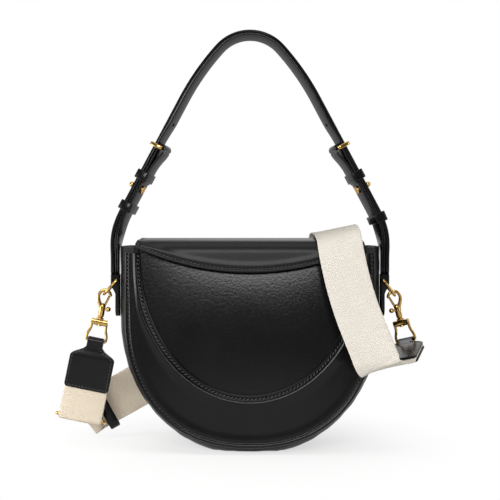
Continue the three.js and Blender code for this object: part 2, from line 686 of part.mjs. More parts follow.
const { straightLength, topRadius } = solveLeg();
const legChain = [];
let legReach = 0;
let legTurn = 0;
let legStart = new THREE.Vector2(LEG_OUTER, PIVOT_HEIGHT);
for (const [length, turn] of [
  [BEND_RISE, 0],
  [BEND_RADIUS * HANDLE_SLANT, HANDLE_SLANT],
  [straightLength, 0],
  [HANDLE_SHOULDER_RADIUS * (HANDLE_SHOULDER_SLANT - HANDLE_SLANT), HANDLE_SHOULDER_SLANT - HANDLE_SLANT],
  [topRadius * (Math.PI / 2 - HANDLE_SHOULDER_SLANT), Math.PI / 2 - HANDLE_SHOULDER_SLANT],
]) {
  const link = { from: legReach, length, angle: legTurn, turn, start: legStart };
  legChain.push(link);
  legReach += length;
  legTurn += turn;
  legStart = linkPoint(link, length).point;
}

function linkPoint({ length, angle, turn, start }, distance) {
  if (!turn) {
    const way = new THREE.Vector2(-Math.sin(angle), Math.cos(angle));
    return { angle, point: start.clone().addScaledVector(way, distance) };
  }
  const radius = length / turn;
  const turned = angle + distance / radius;
  const centre = start.clone().sub(new THREE.Vector2(Math.cos(angle), Math.sin(angle)).multiplyScalar(radius));
  return { angle: turned, point: centre.add(new THREE.Vector2(Math.cos(turned), Math.sin(turned)).multiplyScalar(radius)) };
}

function legPlace(along) {
  const link = legChain.findLast(({ from }) => from <= along) ?? legChain[0];
  return linkPoint(link, along - link.from);
}

function legPoint(along, inward) {
  const { angle, point } = legPlace(along);
  return point.sub(new THREE.Vector2(Math.cos(angle), Math.sin(angle)).multiplyScalar(inward));
}

// Where a point of the leg's plane lies: along the outer line and inward from it.
function alongLeg(point) {
  for (const link of legChain) {
    const { from, length, angle, turn, start } = link;
    const outward = new THREE.Vector2(Math.cos(angle), Math.sin(angle));
    if (!turn) {
      const away = point.clone().sub(start);
      const along = away.dot(new THREE.Vector2(-outward.y, outward.x));
      if (along <= length) {
        return { along: from + along, inward: -away.dot(outward) };
      }
    } else {
      const radius = length / turn;
      const spoke = point.clone().sub(start.clone().addScaledVector(outward, -radius));
      const turned = Math.atan2(spoke.y, spoke.x) - angle;
      if (turned <= turn || link === legChain.at(-1)) {
        return { along: from + turned * radius, inward: radius - spoke.length() };
      }
    }
  }
  return null;
}

// A point of the right leg, turned about the leg's own middle line so that its inner face looks
// a little forward.
function twistPoint(along, inward, y) {
  const angle = HANDLE_TWIST * THREE.MathUtils.smoothstep(along, TWIST_FROM, TWIST_TO);
  const offset = inward - tabFrom;
  const turned = legPoint(along, tabFrom + offset * Math.cos(angle) + y * Math.sin(angle));
  return new THREE.Vector3(turned.x, y * Math.cos(angle) - offset * Math.sin(angle), turned.y);
}

function twisted(geometry) {
  const copy = geometry.clone();
  const position = copy.getAttribute('position');
  for (let i = 0; i < position.count; i += 1) {
    const { along, inward } = alongLeg(new THREE.Vector2(position.getX(i), position.getZ(i)));
    const point = twistPoint(along, inward, position.getY(i));
    position.setXYZ(i, point.x, point.y, point.z);
  }
  return copy;
}

// One section of a leg piece, which narrows to the half-round end below the pivot.
function legRing(along, from, to) {
  const half = Math.sqrt(STRAP_HALF_WIDTH ** 2 - Math.min(along, 0) ** 2);
  return [[from, -half], [from, half], [to, half], [to, -half]].map(([inward, y]) => twistPoint(along, inward, y));
}

// A frame on the right leg: X inward through the leather, Y across it, Z down along the strap.
function onLeg(along, inward, geometry) {
  const { angle } = legPlace(along);
  const point = legPoint(along, inward);
  const matrix = new THREE.Matrix4().makeBasis(
    new THREE.Vector3(-Math.cos(angle), 0, -Math.sin(angle)),
    new THREE.Vector3(0, 1, 0),
    new THREE.Vector3(Math.sin(angle), 0, -Math.cos(angle)),
  );
  matrix.setPosition(point.x, 0, point.y);
  return geometry.clone().applyMatrix4(matrix);
}

// Stations between two places on the leg, close together only where the leg bends.
function stations(from, to) {
  const list = [from];
  const bendSteps = 8;
  for (const link of legChain) {
    const steps = link.turn ? bendSteps : 1;
    for (let i = 0; i <= steps; i += 1) {
      list.push(link.from + (link.length * i) / steps);
    }
  }
  const kept = list.filter((along, i) => i === 0 || (along > list[i - 1] + SEAT_GAP && along > from && along < to - SEAT_GAP));
  return [...kept, to];
}

const legEnds = [0.99, 0.95, 0.84, 0.65, 0.35].map((share) => -share * STRAP_HALF_WIDTH);
const tabFrom = TAIL_THICKNESS + SEAT_GAP;
const barHole = Math.hypot(BUCKLE_BAR, BUCKLE_LENGTH) / 2 + SEAT_GAP;
const barDepth = tabFrom + TAB_PLY + barHole;
const loopRadius = TAB_PLY + barHole;

function strapThickness(along) {
  const thickFrom = BUCKLE_AT + 2 * loopRadius;
  const share = THREE.MathUtils.clamp((along - thickFrom) / STRAP_WIDTH, 0, 1);
  return TAIL_THICKNESS + share * (ARCH_THICKNESS - TAIL_THICKNESS);
}

const ringCap = [[0, 1, 2], [0, 2, 3]];

function handleStrap() {
  const thickening = [BUCKLE_AT + 2 * loopRadius, BUCKLE_AT + 2 * loopRadius + STRAP_WIDTH];
  const places = [...legEnds, ...stations(0, legReach), ...thickening].sort((a, b) => a - b);
  const right = places.map((along) => legRing(along, 0, strapThickness(along)));
  const left = right.slice(0, -1).map((ring) => ring.map((p) => new THREE.Vector3(-p.x, p.y, p.z)));
  return loft([...right, ...left.reverse()], ringCap);
}

// The tab's folded part, from a place on the straight slant up round the buckle's bar.
function tabFold(from) {
  const foldEnd = UPPER_KEEPER_AT - 0.7 * KEEPER_LENGTH;
  const pressedFrom = UPPER_KEEPER_AT + KEEPER_LENGTH;
  const loop = [];
  const steps = 10;
  for (let i = 0; i <= steps; i += 1) {
    const angle = (Math.PI * i) / steps;
    loop.push(legPoint(BUCKLE_AT + loopRadius * Math.sin(angle), barDepth - loopRadius * Math.cos(angle)));
  }
  const shape = new THREE.Shape([
    legPoint(from, tabFrom),
    ...loop,
    legPoint(pressedFrom, tabFrom + 2 * TAB_PLY),
    legPoint(foldEnd, tabFrom + 2 * TAB_PLY),
    legPoint(foldEnd, tabFrom + TAB_THICKNESS),
    legPoint(from, tabFrom + TAB_THICKNESS),
  ]);
  const hole = legPoint(BUCKLE_AT, barDepth);
  shape.holes.push(circleHole(hole.x, hole.y, barHole));
  return twisted(extrudeAlongY(shape, STRAP_WIDTH));
}

function handleTab() {
  const foldFrom = STUD_AT - 2 * STUD_FLANGE_RADIUS;
  const places = [...legEnds, ...stations(0, foldFrom + SEAT_GAP)];
  const lower = loft(places.map((along) => legRing(along, tabFrom, tabFrom + TAB_THICKNESS)), ringCap);
  return join(lower, tabFold(foldFrom));
}

// A rectangular band round the strap, as long as given along it.
function bandRound(from, to, halfWidth, wall, length) {
  const shape = rectangle(from - wall, -halfWidth - wall, to + wall, halfWidth + wall);
  shape.holes.push(new THREE.Path(rectangle(from, -halfWidth, to, halfWidth).getPoints()));
  const geometry = new THREE.ExtrudeGeometry(shape, { depth: length, bevelEnabled: false });
  geometry.translate(0, 0, -length / 2);
  return geometry;
}

const studDepth = tabFrom + TAB_THICKNESS;
const studHole = new THREE.CylinderGeometry(STUD_POST_RADIUS + SEAT_GAP, STUD_POST_RADIUS + SEAT_GAP, 6 * studDepth, 14);
studHole.rotateZ(Math.PI / 2);
const studHoleRight = twisted(onLeg(STUD_AT, 0, studHole));
addPart(bag, 'handle_strap', cut(handleStrap(), studHoleRight, mirrored(studHoleRight)), blackLeather());
addPair(bag, 'handle_tab', cut(handleTab(), studHoleRight), blackLeather);

const keeperHalfWidth = STRAP_HALF_WIDTH + SEAT_GAP;
const upperKeeper = bandRound(-SEAT_GAP, tabFrom + 2 * TAB_PLY + SEAT_GAP, keeperHalfWidth, KEEPER_WALL, KEEPER_LENGTH);
addPair(bag, 'upper_keeper', twisted(onLeg(UPPER_KEEPER_AT, 0, upperKeeper)), blackLeather);
const lowerKeeper = bandRound(-RUNNING_GAP, studDepth + RUNNING_GAP, keeperHalfWidth, KEEPER_WALL, KEEPER_LENGTH);
const lowerKeeperRight = twisted(onLeg(LOWER_KEEPER_AT_RIGHT, 0, lowerKeeper));
const lowerKeeperLeft = mirrored(twisted(onLeg(LOWER_KEEPER_AT_LEFT, 0, lowerKeeper)));
addPart(bag, 'lower_keeper_right', lowerKeeperRight, blackLeather());
addPart(bag, 'lower_keeper_left', lowerKeeperLeft, blackLeather());
const buckleFrom = -2 * RUNNING_GAP;
const buckleTo = barDepth - BUCKLE_BAR / 2;
const buckle = bandRound(buckleFrom, buckleTo, keeperHalfWidth, BUCKLE_BAR, BUCKLE_LENGTH);
addPair(bag, 'buckle', twisted(onLeg(BUCKLE_AT, 0, buckle)), goldBrass);

// Ball stud: ball and flange outside, post through the leather; its screw closes it inside.
const ballCentre = STUD_FLANGE_THICKNESS + STUD_NECK_LENGTH + STUD_BALL_RADIUS * 0.8;
const studProfileRight = [
  [0, -studDepth],
  [STUD_POST_RADIUS, -studDepth],
  [STUD_POST_RADIUS, SEAT_GAP],
  [STUD_FLANGE_RADIUS, SEAT_GAP],
  [STUD_FLANGE_RADIUS, SEAT_GAP + STUD_FLANGE_THICKNESS],
  [STUD_NECK_RADIUS, SEAT_GAP + STUD_FLANGE_THICKNESS],
  ...arcPoints(0, ballCentre, STUD_BALL_RADIUS, -Math.asin(0.85), Math.PI / 2, 7).map((p) => [Math.max(p.x, 0), p.y]),
];
studProfileRight.at(-1)[0] = 0;
const strapStud = turnAboutZ(studProfileRight);
strapStud.rotateY(-Math.PI / 2);
addPair(bag, 'strap_stud', twisted(onLeg(STUD_AT, 0, strapStud)), goldBrass);
const screwFrom = studDepth + SEAT_GAP;
const screwHead = turnAboutZ([[0, 0], [SCREW_HEAD_RADIUS, 0], [SCREW_HEAD_RADIUS, SCREW_HEAD_THICKNESS], [0, SCREW_HEAD_THICKNESS]]);
const screwSlot = new THREE.BoxGeometry(3 * SCREW_HEAD_RADIUS, SCREW_SLOT_WIDTH, 2 * SCREW_SLOT_DEPTH);
screwSlot.translate(0, 0, SCREW_HEAD_THICKNESS);
const screw = cut(screwHead, screwSlot);
screw.rotateY(Math.PI / 2);
screw.translate(screwFrom, 0, 0);
addPair(bag, 'stud_screw', twisted(onLeg(STUD_AT, 0, screw)), goldBrass);

// Sewn end of the handle on the gusset, with a tunnel for the D-ring's bar

const ringHeight = PIVOT_HEIGHT - RING_BELOW_PIVOT;
const ringX = SIDE_REACH + SEAT_GAP + RING_WIRE_RADIUS + 2 * SEAT_GAP;

function handleAnchor() {
  const inside = SIDE_REACH + SEAT_GAP;
  const swingRadius = STRAP_HALF_WIDTH + SEAT_GAP;
  const tipAngle = HANDLE_SWING_LIMIT + Math.asin(STRAP_HALF_WIDTH / swingRadius);
  const top = PIVOT_HEIGHT + swingRadius * Math.cos(tipAngle) - SEAT_GAP;
  const bottom = PIVOT_HEIGHT - STRAP_HALF_WIDTH - ANCHOR_LENGTH;
  const profile = new THREE.Shape([
    new THREE.Vector2(inside, bottom),
    new THREE.Vector2(inside + ANCHOR_LOWER_THICKNESS, bottom),
    new THREE.Vector2(inside + ANCHOR_LOWER_THICKNESS, ringHeight - ANCHOR_STEP),
    new THREE.Vector2(LEG_OUTER, ringHeight - ANCHOR_STEP / 4),
    new THREE.Vector2(LEG_OUTER, top),
    new THREE.Vector2(inside, top),
  ]);
  profile.holes.push(circleHole(ringX, ringHeight, RING_WIRE_RADIUS + SEAT_GAP));
  const face = new THREE.Shape();
  face.moveTo(-STRAP_HALF_WIDTH, top);
  face.lineTo(-STRAP_HALF_WIDTH, bottom + STRAP_HALF_WIDTH);
  face.absarc(0, bottom + STRAP_HALF_WIDTH, STRAP_HALF_WIDTH, Math.PI, 2 * Math.PI, false);
  face.lineTo(STRAP_HALF_WIDTH, top);
  const swept = new THREE.CylinderGeometry(swingRadius, swingRadius, 4 * LEG_OUTER, 28);
  swept.rotateZ(Math.PI / 2);
  swept.translate(0, 0, PIVOT_HEIGHT);
  return cut(common(extrudeAlongY(profile, STRAP_WIDTH), extrudeAlongX(face, 4 * LEG_OUTER)), swept);
}

addPair(bag, 'handle_anchor', handleAnchor(), blackLeather);

// D-ring in its own frame: bar along Y at the origin, bow out along X.
function dRing() {
  const bowFrom = RING_LENGTH - RING_HALF_WIDTH;
  const cornerAt = RING_HALF_WIDTH - RING_CORNER;
  const outline = [
    ...arcPoints(RING_CORNER, -cornerAt, RING_CORNER, Math.PI, 1.5 * Math.PI, 3),
    ...arcPoints(bowFrom, 0, RING_HALF_WIDTH, -Math.PI / 2, Math.PI / 2, 14),
    ...arcPoints(RING_CORNER, cornerAt, RING_CORNER, Math.PI / 2, Math.PI, 3),
  ];
  const points = outline.map((p) => new THREE.Vector3(p.x, p.y, 0));
  return planarWire(points, new THREE.Vector3(0, 0, 1), RING_WIRE_RADIUS, true);
}

// Trigger clasp pieces

const collarTop = -EYE_HALF_HEIGHT - CLAW_BAND / 2 - BARREL_LENGTH;
const stemTop = collarTop - 2 * SEAT_GAP;
const stemLength = SWIVEL_LENGTH + 2 * SEAT_GAP;
const rivetTop = stemTop - stemLength;

function ellipsePoints(halfWidth, halfHeight, from, to, steps) {
  return Array.from({ length: steps + 1 }, (_, i) => {
    const angle = from + ((to - from) * i) / steps;
    return new THREE.Vector2(halfWidth * Math.cos(angle), halfHeight * Math.sin(angle));
  });
}

function pinBore(radius) {
  const bore = new THREE.CylinderGeometry(radius, radius, 4 * BARREL_RADIUS, 10);
  bore.translate(TRIGGER_PIVOT.x, 0, TRIGGER_PIVOT.y);
  return bore;
}

function claspHook() {
  const clawShape = new THREE.Shape([
    ...ellipsePoints(EYE_HALF_WIDTH + CLAW_BAND, EYE_HALF_HEIGHT + CLAW_BAND, CLAW_TIP_ANGLE, CLAW_HEEL_ANGLE, 22),
    ...ellipsePoints(EYE_HALF_WIDTH, EYE_HALF_HEIGHT, CLAW_HEEL_ANGLE, CLAW_TIP_ANGLE, 22),
  ]);
  const claw = extrudeAlongY(clawShape, CLAW_THICKNESS - 2 * CLAW_BEVEL, {
    bevelEnabled: true,
    bevelThickness: CLAW_BEVEL,
    bevelSize: CLAW_BEVEL,
    bevelOffset: -CLAW_BEVEL,
    bevelSegments: 2,
  });
  const shank = turnAboutZ([
    [0, -EYE_HALF_HEIGHT - CLAW_BAND / 4],
    [BARREL_RADIUS * 0.7, -EYE_HALF_HEIGHT - CLAW_BAND / 4],
    [BARREL_RADIUS, -EYE_HALF_HEIGHT - CLAW_BAND],
    [BARREL_RADIUS, collarTop + 1.6],
    [BARREL_RADIUS * 0.75, collarTop + 0.9],
    [COLLAR_RADIUS, collarTop + 0.6],
    [COLLAR_RADIUS, stemTop + SEAT_GAP],
    [STEM_RADIUS, stemTop + SEAT_GAP],
    [STEM_RADIUS, rivetTop],
    [RIVET_RADIUS, rivetTop],
    [RIVET_RADIUS * 0.8, rivetTop - RIVET_THICKNESS],
    [0, rivetTop - RIVET_THICKNESS],
  ], 16);
  const slotHalf = TRIGGER_THICKNESS / 2 + SEAT_GAP;
  const slotTop = -EYE_HALF_HEIGHT / 2;
  const slotBottom = TRIGGER_PIVOT.y - TRIGGER_HUB_RADIUS - 1.2;
  const slotFrom = TRIGGER_PIVOT.x - TRIGGER_HUB_RADIUS - SEAT_GAP;
  const slotTo = 3 * TRIGGER_KNOB_REACH;
  const slot = extrudeAlongY(rectangle(slotFrom, slotBottom, slotTo, slotTop), 2 * slotHalf);
  return cut(join(claw, shank), slot, pinBore(PIN_RADIUS + SEAT_GAP));
}

function claspTrigger() {
  const band = [GATE_INSET, CLAW_BAND - GATE_INSET / 2].map((inset) => [EYE_HALF_WIDTH + inset, EYE_HALF_HEIGHT + inset]);
  const gate = extrudeAlongY(new THREE.Shape([
    ...ellipsePoints(...band[1], GATE_HEEL_ANGLE, GATE_END_ANGLE, 10),
    ...ellipsePoints(...band[0], GATE_END_ANGLE, GATE_HEEL_ANGLE, 10),
  ]), TRIGGER_THICKNESS);
  const heel = ellipsePoints(...band[0], GATE_HEEL_ANGLE, 0, 1)[0].lerp(ellipsePoints(...band[1], GATE_HEEL_ANGLE, 0, 1)[0], 0.5);
  const lever = extrudeAlongY(stripShape([TRIGGER_PIVOT, heel], TRIGGER_HUB_RADIUS), TRIGGER_THICKNESS);
  const hub = new THREE.CylinderGeometry(TRIGGER_HUB_RADIUS, TRIGGER_HUB_RADIUS, TRIGGER_THICKNESS, 14);
  hub.translate(TRIGGER_PIVOT.x, 0, TRIGGER_PIVOT.y);
  const knobAt = new THREE.Vector2(TRIGGER_PIVOT.x + TRIGGER_KNOB_REACH, TRIGGER_PIVOT.y + 1);
  const arm = extrudeAlongY(stripShape([TRIGGER_PIVOT, knobAt], TRIGGER_THICKNESS), TRIGGER_THICKNESS);
  const knob = new THREE.SphereGeometry(TRIGGER_KNOB_RADIUS, 12, 8);
  knob.translate(knobAt.x, 0, knobAt.y);
  return cut(join(gate, lever, hub, arm, knob), pinBore(PIN_RADIUS + SEAT_GAP));
}

function triggerPin() {
  const pin = new THREE.CylinderGeometry(PIN_RADIUS, PIN_RADIUS, 1.7 * BARREL_RADIUS, 12);
  pin.translate(TRIGGER_PIVOT.x, 0, TRIGGER_PIVOT.y);
  return pin;
}

function claspLoop() {
  const swivelTop = stemTop;
  const swivelBottom = swivelTop - SWIVEL_LENGTH;
  const bore = STEM_RADIUS + SEAT_GAP;
  const swivel = turnAboutZ([
    [bore, swivelBottom],
    [SWIVEL_RADIUS, swivelBottom],
    [SWIVEL_RADIUS, swivelTop],
    [bore, swivelTop],
    [bore, swivelBottom],
  ], 16);
  const shoulder = (swivelTop + swivelBottom) / 2;
  const corner = 2;
  const half = [
    new THREE.Vector2((bore + SWIVEL_RADIUS) / 2, shoulder),
    ...arcPoints(LOOP_NECK_HALF_WIDTH - LOOP_NECK_CORNER, shoulder - LOOP_NECK_CORNER, LOOP_NECK_CORNER, Math.PI / 2, 0, 3),
    new THREE.Vector2(LOOP_NECK_HALF_WIDTH, shoulder - LOOP_NECK_LENGTH),
    new THREE.Vector2(LOOP_HALF_WIDTH, shoulder - LOOP_NECK_LENGTH - LOOP_FLARE_LENGTH),
    ...arcPoints(LOOP_HALF_WIDTH - corner, -CLASP_LENGTH + corner, corner, 0, -Math.PI / 2, 3),
  ];
  const other = half.map((p) => new THREE.Vector2(-p.x, p.y)).reverse();
  const points = [...half, ...other].map((p) => new THREE.Vector3(p.x, 0, p.y));
  return join(swivel, planarWire(points, new THREE.Vector3(0, 1, 0), LOOP_WIRE_RADIUS, false));
}

// Leather end tab: folded round the loop's bar, open below for the webbing, bottle-shaped in front.
function endTab() {
  const barBore = LOOP_WIRE_RADIUS + RUNNING_GAP;
  const eyeRadius = barBore + END_TAB_PLY;
  const slotHalf = WEBBING_LIFT;
  const half = slotHalf + END_TAB_PLY;
  const fold = new THREE.Shape([
    new THREE.Vector2(-slotHalf, -END_TAB_LENGTH),
    new THREE.Vector2(-slotHalf, -END_TAB_GLUED_LENGTH),
    new THREE.Vector2(slotHalf, -END_TAB_GLUED_LENGTH),
    new THREE.Vector2(slotHalf, -END_TAB_LENGTH),
    new THREE.Vector2(half, -END_TAB_LENGTH),
    new THREE.Vector2(half, -2 * eyeRadius),
    ...arcPoints(0, 0, eyeRadius, 0, Math.PI, 10),
    new THREE.Vector2(-half, -2 * eyeRadius),
    new THREE.Vector2(-half, -END_TAB_LENGTH),
  ]);
  fold.holes.push(circleHole(0, 0, barBore));
  const side = [
    new THREE.Vector2(END_TAB_NECK_HALF_WIDTH, 2 * eyeRadius),
    new THREE.Vector2(END_TAB_NECK_HALF_WIDTH, -END_TAB_NECK_LENGTH),
  ];
  const curveSteps = 8;
  for (let i = 1; i <= curveSteps; i += 1) {
    const share = i / curveSteps;
    const widening = (1 - Math.cos(Math.PI * share)) / 2;
    side.push(new THREE.Vector2(
      END_TAB_NECK_HALF_WIDTH + widening * (END_TAB_HALF_WIDTH - END_TAB_NECK_HALF_WIDTH),
      -END_TAB_NECK_LENGTH - share * END_TAB_SHOULDER,
    ));
  }
  const cornerX = END_TAB_HALF_WIDTH - END_TAB_CORNER;
  side.push(...arcPoints(cornerX, -END_TAB_LENGTH + END_TAB_CORNER, END_TAB_CORNER, 0, -Math.PI / 2, 4));
  const outline = [...side, ...side.map((p) => new THREE.Vector2(-p.x, p.y)).reverse()];
  return common(
    extrudeAlongX(fold, 3 * END_TAB_HALF_WIDTH),
    extrudeAlongY(new THREE.Shape(outline), 4 * eyeRadius),
  );
}

// Each side's ring, clasp and end tab, nested as they hang on each other
const tabFrames = {};
for (const side of SIDES) {
  const ring = new THREE.Group();
  ring.position.set(side.sign * ringX, 0, ringHeight);
  const drop = THREE.MathUtils.degToRad(side.ringDrop);
  ring.rotation.y = side.sign > 0 ? drop : Math.PI - drop;
  bag.add(ring);
  addPart(ring, `d_ring_${side.name}`, dRing(), goldBrass());

  const handed = (geometry) => (side.sign < 0 ? geometry : mirrored(geometry));
  const tilt = THREE.MathUtils.degToRad(side.tilt);
  const wireOffset = new THREE.Vector3(-side.sign * WIRE_IN_EYE.x, 0, WIRE_IN_EYE.y).applyAxisAngle(new THREE.Vector3(0, 1, 0), tilt);
  const wire = new THREE.Vector3(
    side.sign * (ringX + RING_LENGTH * Math.cos(drop)),
    0,
    ringHeight - RING_LENGTH * Math.sin(drop),
  );
  const clasp = new THREE.Group();
  clasp.position.copy(wire.sub(wireOffset));
  clasp.rotation.y = tilt;
  bag.add(clasp);
  addPart(clasp, `hook_${side.name}`, handed(claspHook()), goldBrass());
  addPart(clasp, `trigger_${side.name}`, handed(claspTrigger()), goldBrass());
  addPart(clasp, `trigger_pin_${side.name}`, handed(triggerPin()), goldBrass());

  const loop = new THREE.Group();
  loop.rotation.z = THREE.MathUtils.degToRad(side.yaw);
  clasp.add(loop);
  addPart(loop, `clasp_loop_${side.name}`, claspLoop(), goldBrass());

  const tab = new THREE.Group();
  tab.position.z = -CLASP_LENGTH;
  tab.rotation.x = THREE.MathUtils.degToRad(side.pitch);
  loop.add(tab);
  addPart(tab, `end_tab_${side.name}`, endTab(), blackLeather());
  tab.updateWorldMatrix(true, false);
  tabFrames[side.name] = tab;
}

// Webbing: a flat section carried along frames of a point, a direction, a width and a normal

function frameAt(point, along, width) {
  const direction = along.clone().normalize();
  const across = width.clone().addScaledVector(direction, -width.dot(direction)).normalize();
  const normal = direction.clone().cross(across);
  return { point, direction, across, normal };
}

function routeFrames(route, steps) {
  const middle = new THREE.CatmullRomCurve3(route.map(([point]) => point), false, 'centripetal');
  const widths = new THREE.CatmullRomCurve3(route.map(([, width]) => width), false, 'centripetal');
  return Array.from({ length: steps + 1 }, (_, i) => {
    const share = i / steps;
    return frameAt(middle.getPoint(share), middle.getTangent(share), widths.getPoint(share));
  });
}

function webbing(frames) {
  const halfWidth = WEBBING_WIDTH / 2;
  const halfThickness = WEBBING_THICKNESS / 2;
  const corners = [[1, 1], [-1, 1], [-1, -1], [1, -1]];
  const rings = frames.map(({ point, across, normal }) => corners.map(([w, n]) => point.clone()
    .addScaledVector(across, w * halfWidth)
    .addScaledVector(normal, n * halfThickness)));
  return loft(rings, [[0, 1, 2], [0, 2, 3]]);
}

// Half a turn round a bar, from one face of the webbing to the other.
function turnFrames(frame, radius, steps) {
  const centre = frame.point.clone().addScaledVector(frame.normal, radius);
  return Array.from({ length: steps }, (_, i) => {
    const angle = (Math.PI * (i + 1)) / steps;
    const direction = frame.direction.clone().applyAxisAngle(frame.across, -angle);
    const spoke = frame.normal.clone().multiplyScalar(-radius).applyAxisAngle(frame.across, -angle);
    return frameAt(centre.clone().add(spoke), direction, frame.across);
  });
}

const vectors = (route) => route.map(([point, width]) => [new THREE.Vector3(...point), new THREE.Vector3(...width)]);
const fromTab = (side, along, forward = 0) => tabFrames[side].localToWorld(new THREE.Vector3(0, forward, -along));
const tabWidth = (side) => new THREE.Vector3(1, 0, 0).transformDirection(tabFrames[side].matrixWorld);

const webbingFrom = END_TAB_LENGTH - WEBBING_IN_TAB;
const frontRoute = [
  [fromTab('right', webbingFrom), tabWidth('right')],
  [fromTab('right', END_TAB_LENGTH - WEBBING_IN_TAB / 4), tabWidth('right')],
  [fromTab('right', END_TAB_LENGTH), tabWidth('right')],
  [fromTab('right', END_TAB_LENGTH + WEBBING_IN_TAB / 8), tabWidth('right')],
  ...vectors(FRONT_ROUTE),
];
addPart(bag, 'strap_webbing_front', webbing(routeFrames(frontRoute, FRONT_STEPS)), creamWebbing());

// Short webbing: down from the left end tab, round the ring's first bar and up behind itself
const ringTurn = STRAP_RING_WIRE + WEBBING_LIFT;
const shortTo = END_TAB_LENGTH + SHORT_WEBBING_DROP;
const leftFrame = tabFrames.left;
const down = new THREE.Vector3(0, 0, -1).transformDirection(leftFrame.matrixWorld);
const away = new THREE.Vector3(0, 1, 0).transformDirection(leftFrame.matrixWorld);
const leftWidth = tabWidth('left').negate();
const frontPly = [webbingFrom, END_TAB_LENGTH, shortTo].map((along) => frameAt(fromTab('left', along), down, leftWidth));
const shortTurn = turnFrames(frontPly.at(-1), ringTurn, 8);
const backPly = [shortTo - RING_FOLD_START * ringTurn, END_TAB_LENGTH + RUNNING_GAP]
  .map((along) => frameAt(fromTab('left', along, LAYER_PITCH), down.clone().negate(), leftWidth));
addPart(bag, 'strap_webbing_short', webbing([...frontPly, ...shortTurn, ...backPly]), creamWebbing());

// Rectangular ring: its first bar holds the short webbing, its second the long webbing.
const firstBar = fromTab('left', shortTo, ringTurn);
const ringHalf = WEBBING_WIDTH / 2 + STRAP_RING_WIRE + RUNNING_GAP;
const reach = away.clone().multiplyScalar(STRAP_RING_REACH).addScaledVector(down, STRAP_RING_REACH / 4);
const ringAcross = tabWidth('left');

function strapRing() {
  const outline = [[-1, 0], [1, 0], [1, 1], [-1, 1]].flatMap(([across, far]) => {
    const from = Math.atan2(far ? 1 : -1, across) ;
    const centreX = across * (ringHalf - STRAP_RING_CORNER);
    const centreY = far ? reach.length() - STRAP_RING_CORNER : STRAP_RING_CORNER;
    return arcPoints(centreX, centreY, STRAP_RING_CORNER, from - Math.PI / 4, from + Math.PI / 4, 3);
  });
  const forward = reach.clone().normalize();
  const points = outline.map((p) => firstBar.clone().addScaledVector(ringAcross, p.x).addScaledVector(forward, p.y));
  return planarWire(points, ringAcross.clone().cross(forward).normalize(), STRAP_RING_WIRE, true);
}

addPart(bag, 'strap_ring', strapRing(), goldBrass());

// Long webbing behind the body: to the ring's second bar, round it and doubled back to the slider
const secondBar = firstBar.clone().add(reach);
const arrive = away.clone().negate();
const under = new THREE.Vector3().crossVectors(arrive, ringAcross).normalize();
const ringEntry = secondBar.clone().addScaledVector(under, -ringTurn);
const rearRoute = [
  ...vectors(REAR_ROUTE),
  [ringEntry.clone().addScaledVector(arrive, -2 * ringTurn), ringAcross],
];
const rearFrames = [
  ...routeFrames(rearRoute, REAR_STEPS),
  frameAt(ringEntry.clone().addScaledVector(arrive, -ringTurn), arrive, ringAcross),
  frameAt(ringEntry, arrive, ringAcross),
];
const rearTurn = turnFrames(rearFrames.at(-1), ringTurn, 8);
const spread = (i) => Math.max(0, 1 - (rearFrames.length - 1 - i) / 4);
const apart = (i) => LAYER_PITCH + spread(i) * (2 * ringTurn - LAYER_PITCH);
const doubled = rearFrames
  .map((frame, i) => frameAt(
    frame.point.clone().addScaledVector(frame.normal, apart(i)),
    frame.direction.clone().negate(),
    frame.across,
  ))
  .slice(SLIDER_AT_STEP, -1)
  .reverse();
const sliderTurn = SLIDER_WIRE + WEBBING_LIFT;
const sliderEnd = doubled.at(-1);
const flipped = frameAt(sliderEnd.point, sliderEnd.direction, sliderEnd.across);
const barTurn = turnFrames({ ...flipped, normal: flipped.normal.clone().negate(), across: flipped.across.clone().negate() }, sliderTurn, 8);
const hemEnd = barTurn.at(-1);
const sewnEnd = frameAt(
  hemEnd.point.clone().addScaledVector(hemEnd.direction, 5 * sliderTurn),
  hemEnd.direction,
  hemEnd.across,
);
const keepAcross = (frames, across) => frames.map((frame) => frameAt(frame.point, frame.direction, across(frame)));
const tail = keepAcross([...barTurn, sewnEnd], (frame) => frame.across.clone().negate());
addPart(bag, 'strap_webbing_rear', webbing([...rearFrames, ...rearTurn, ...doubled, ...tail]), creamWebbing());

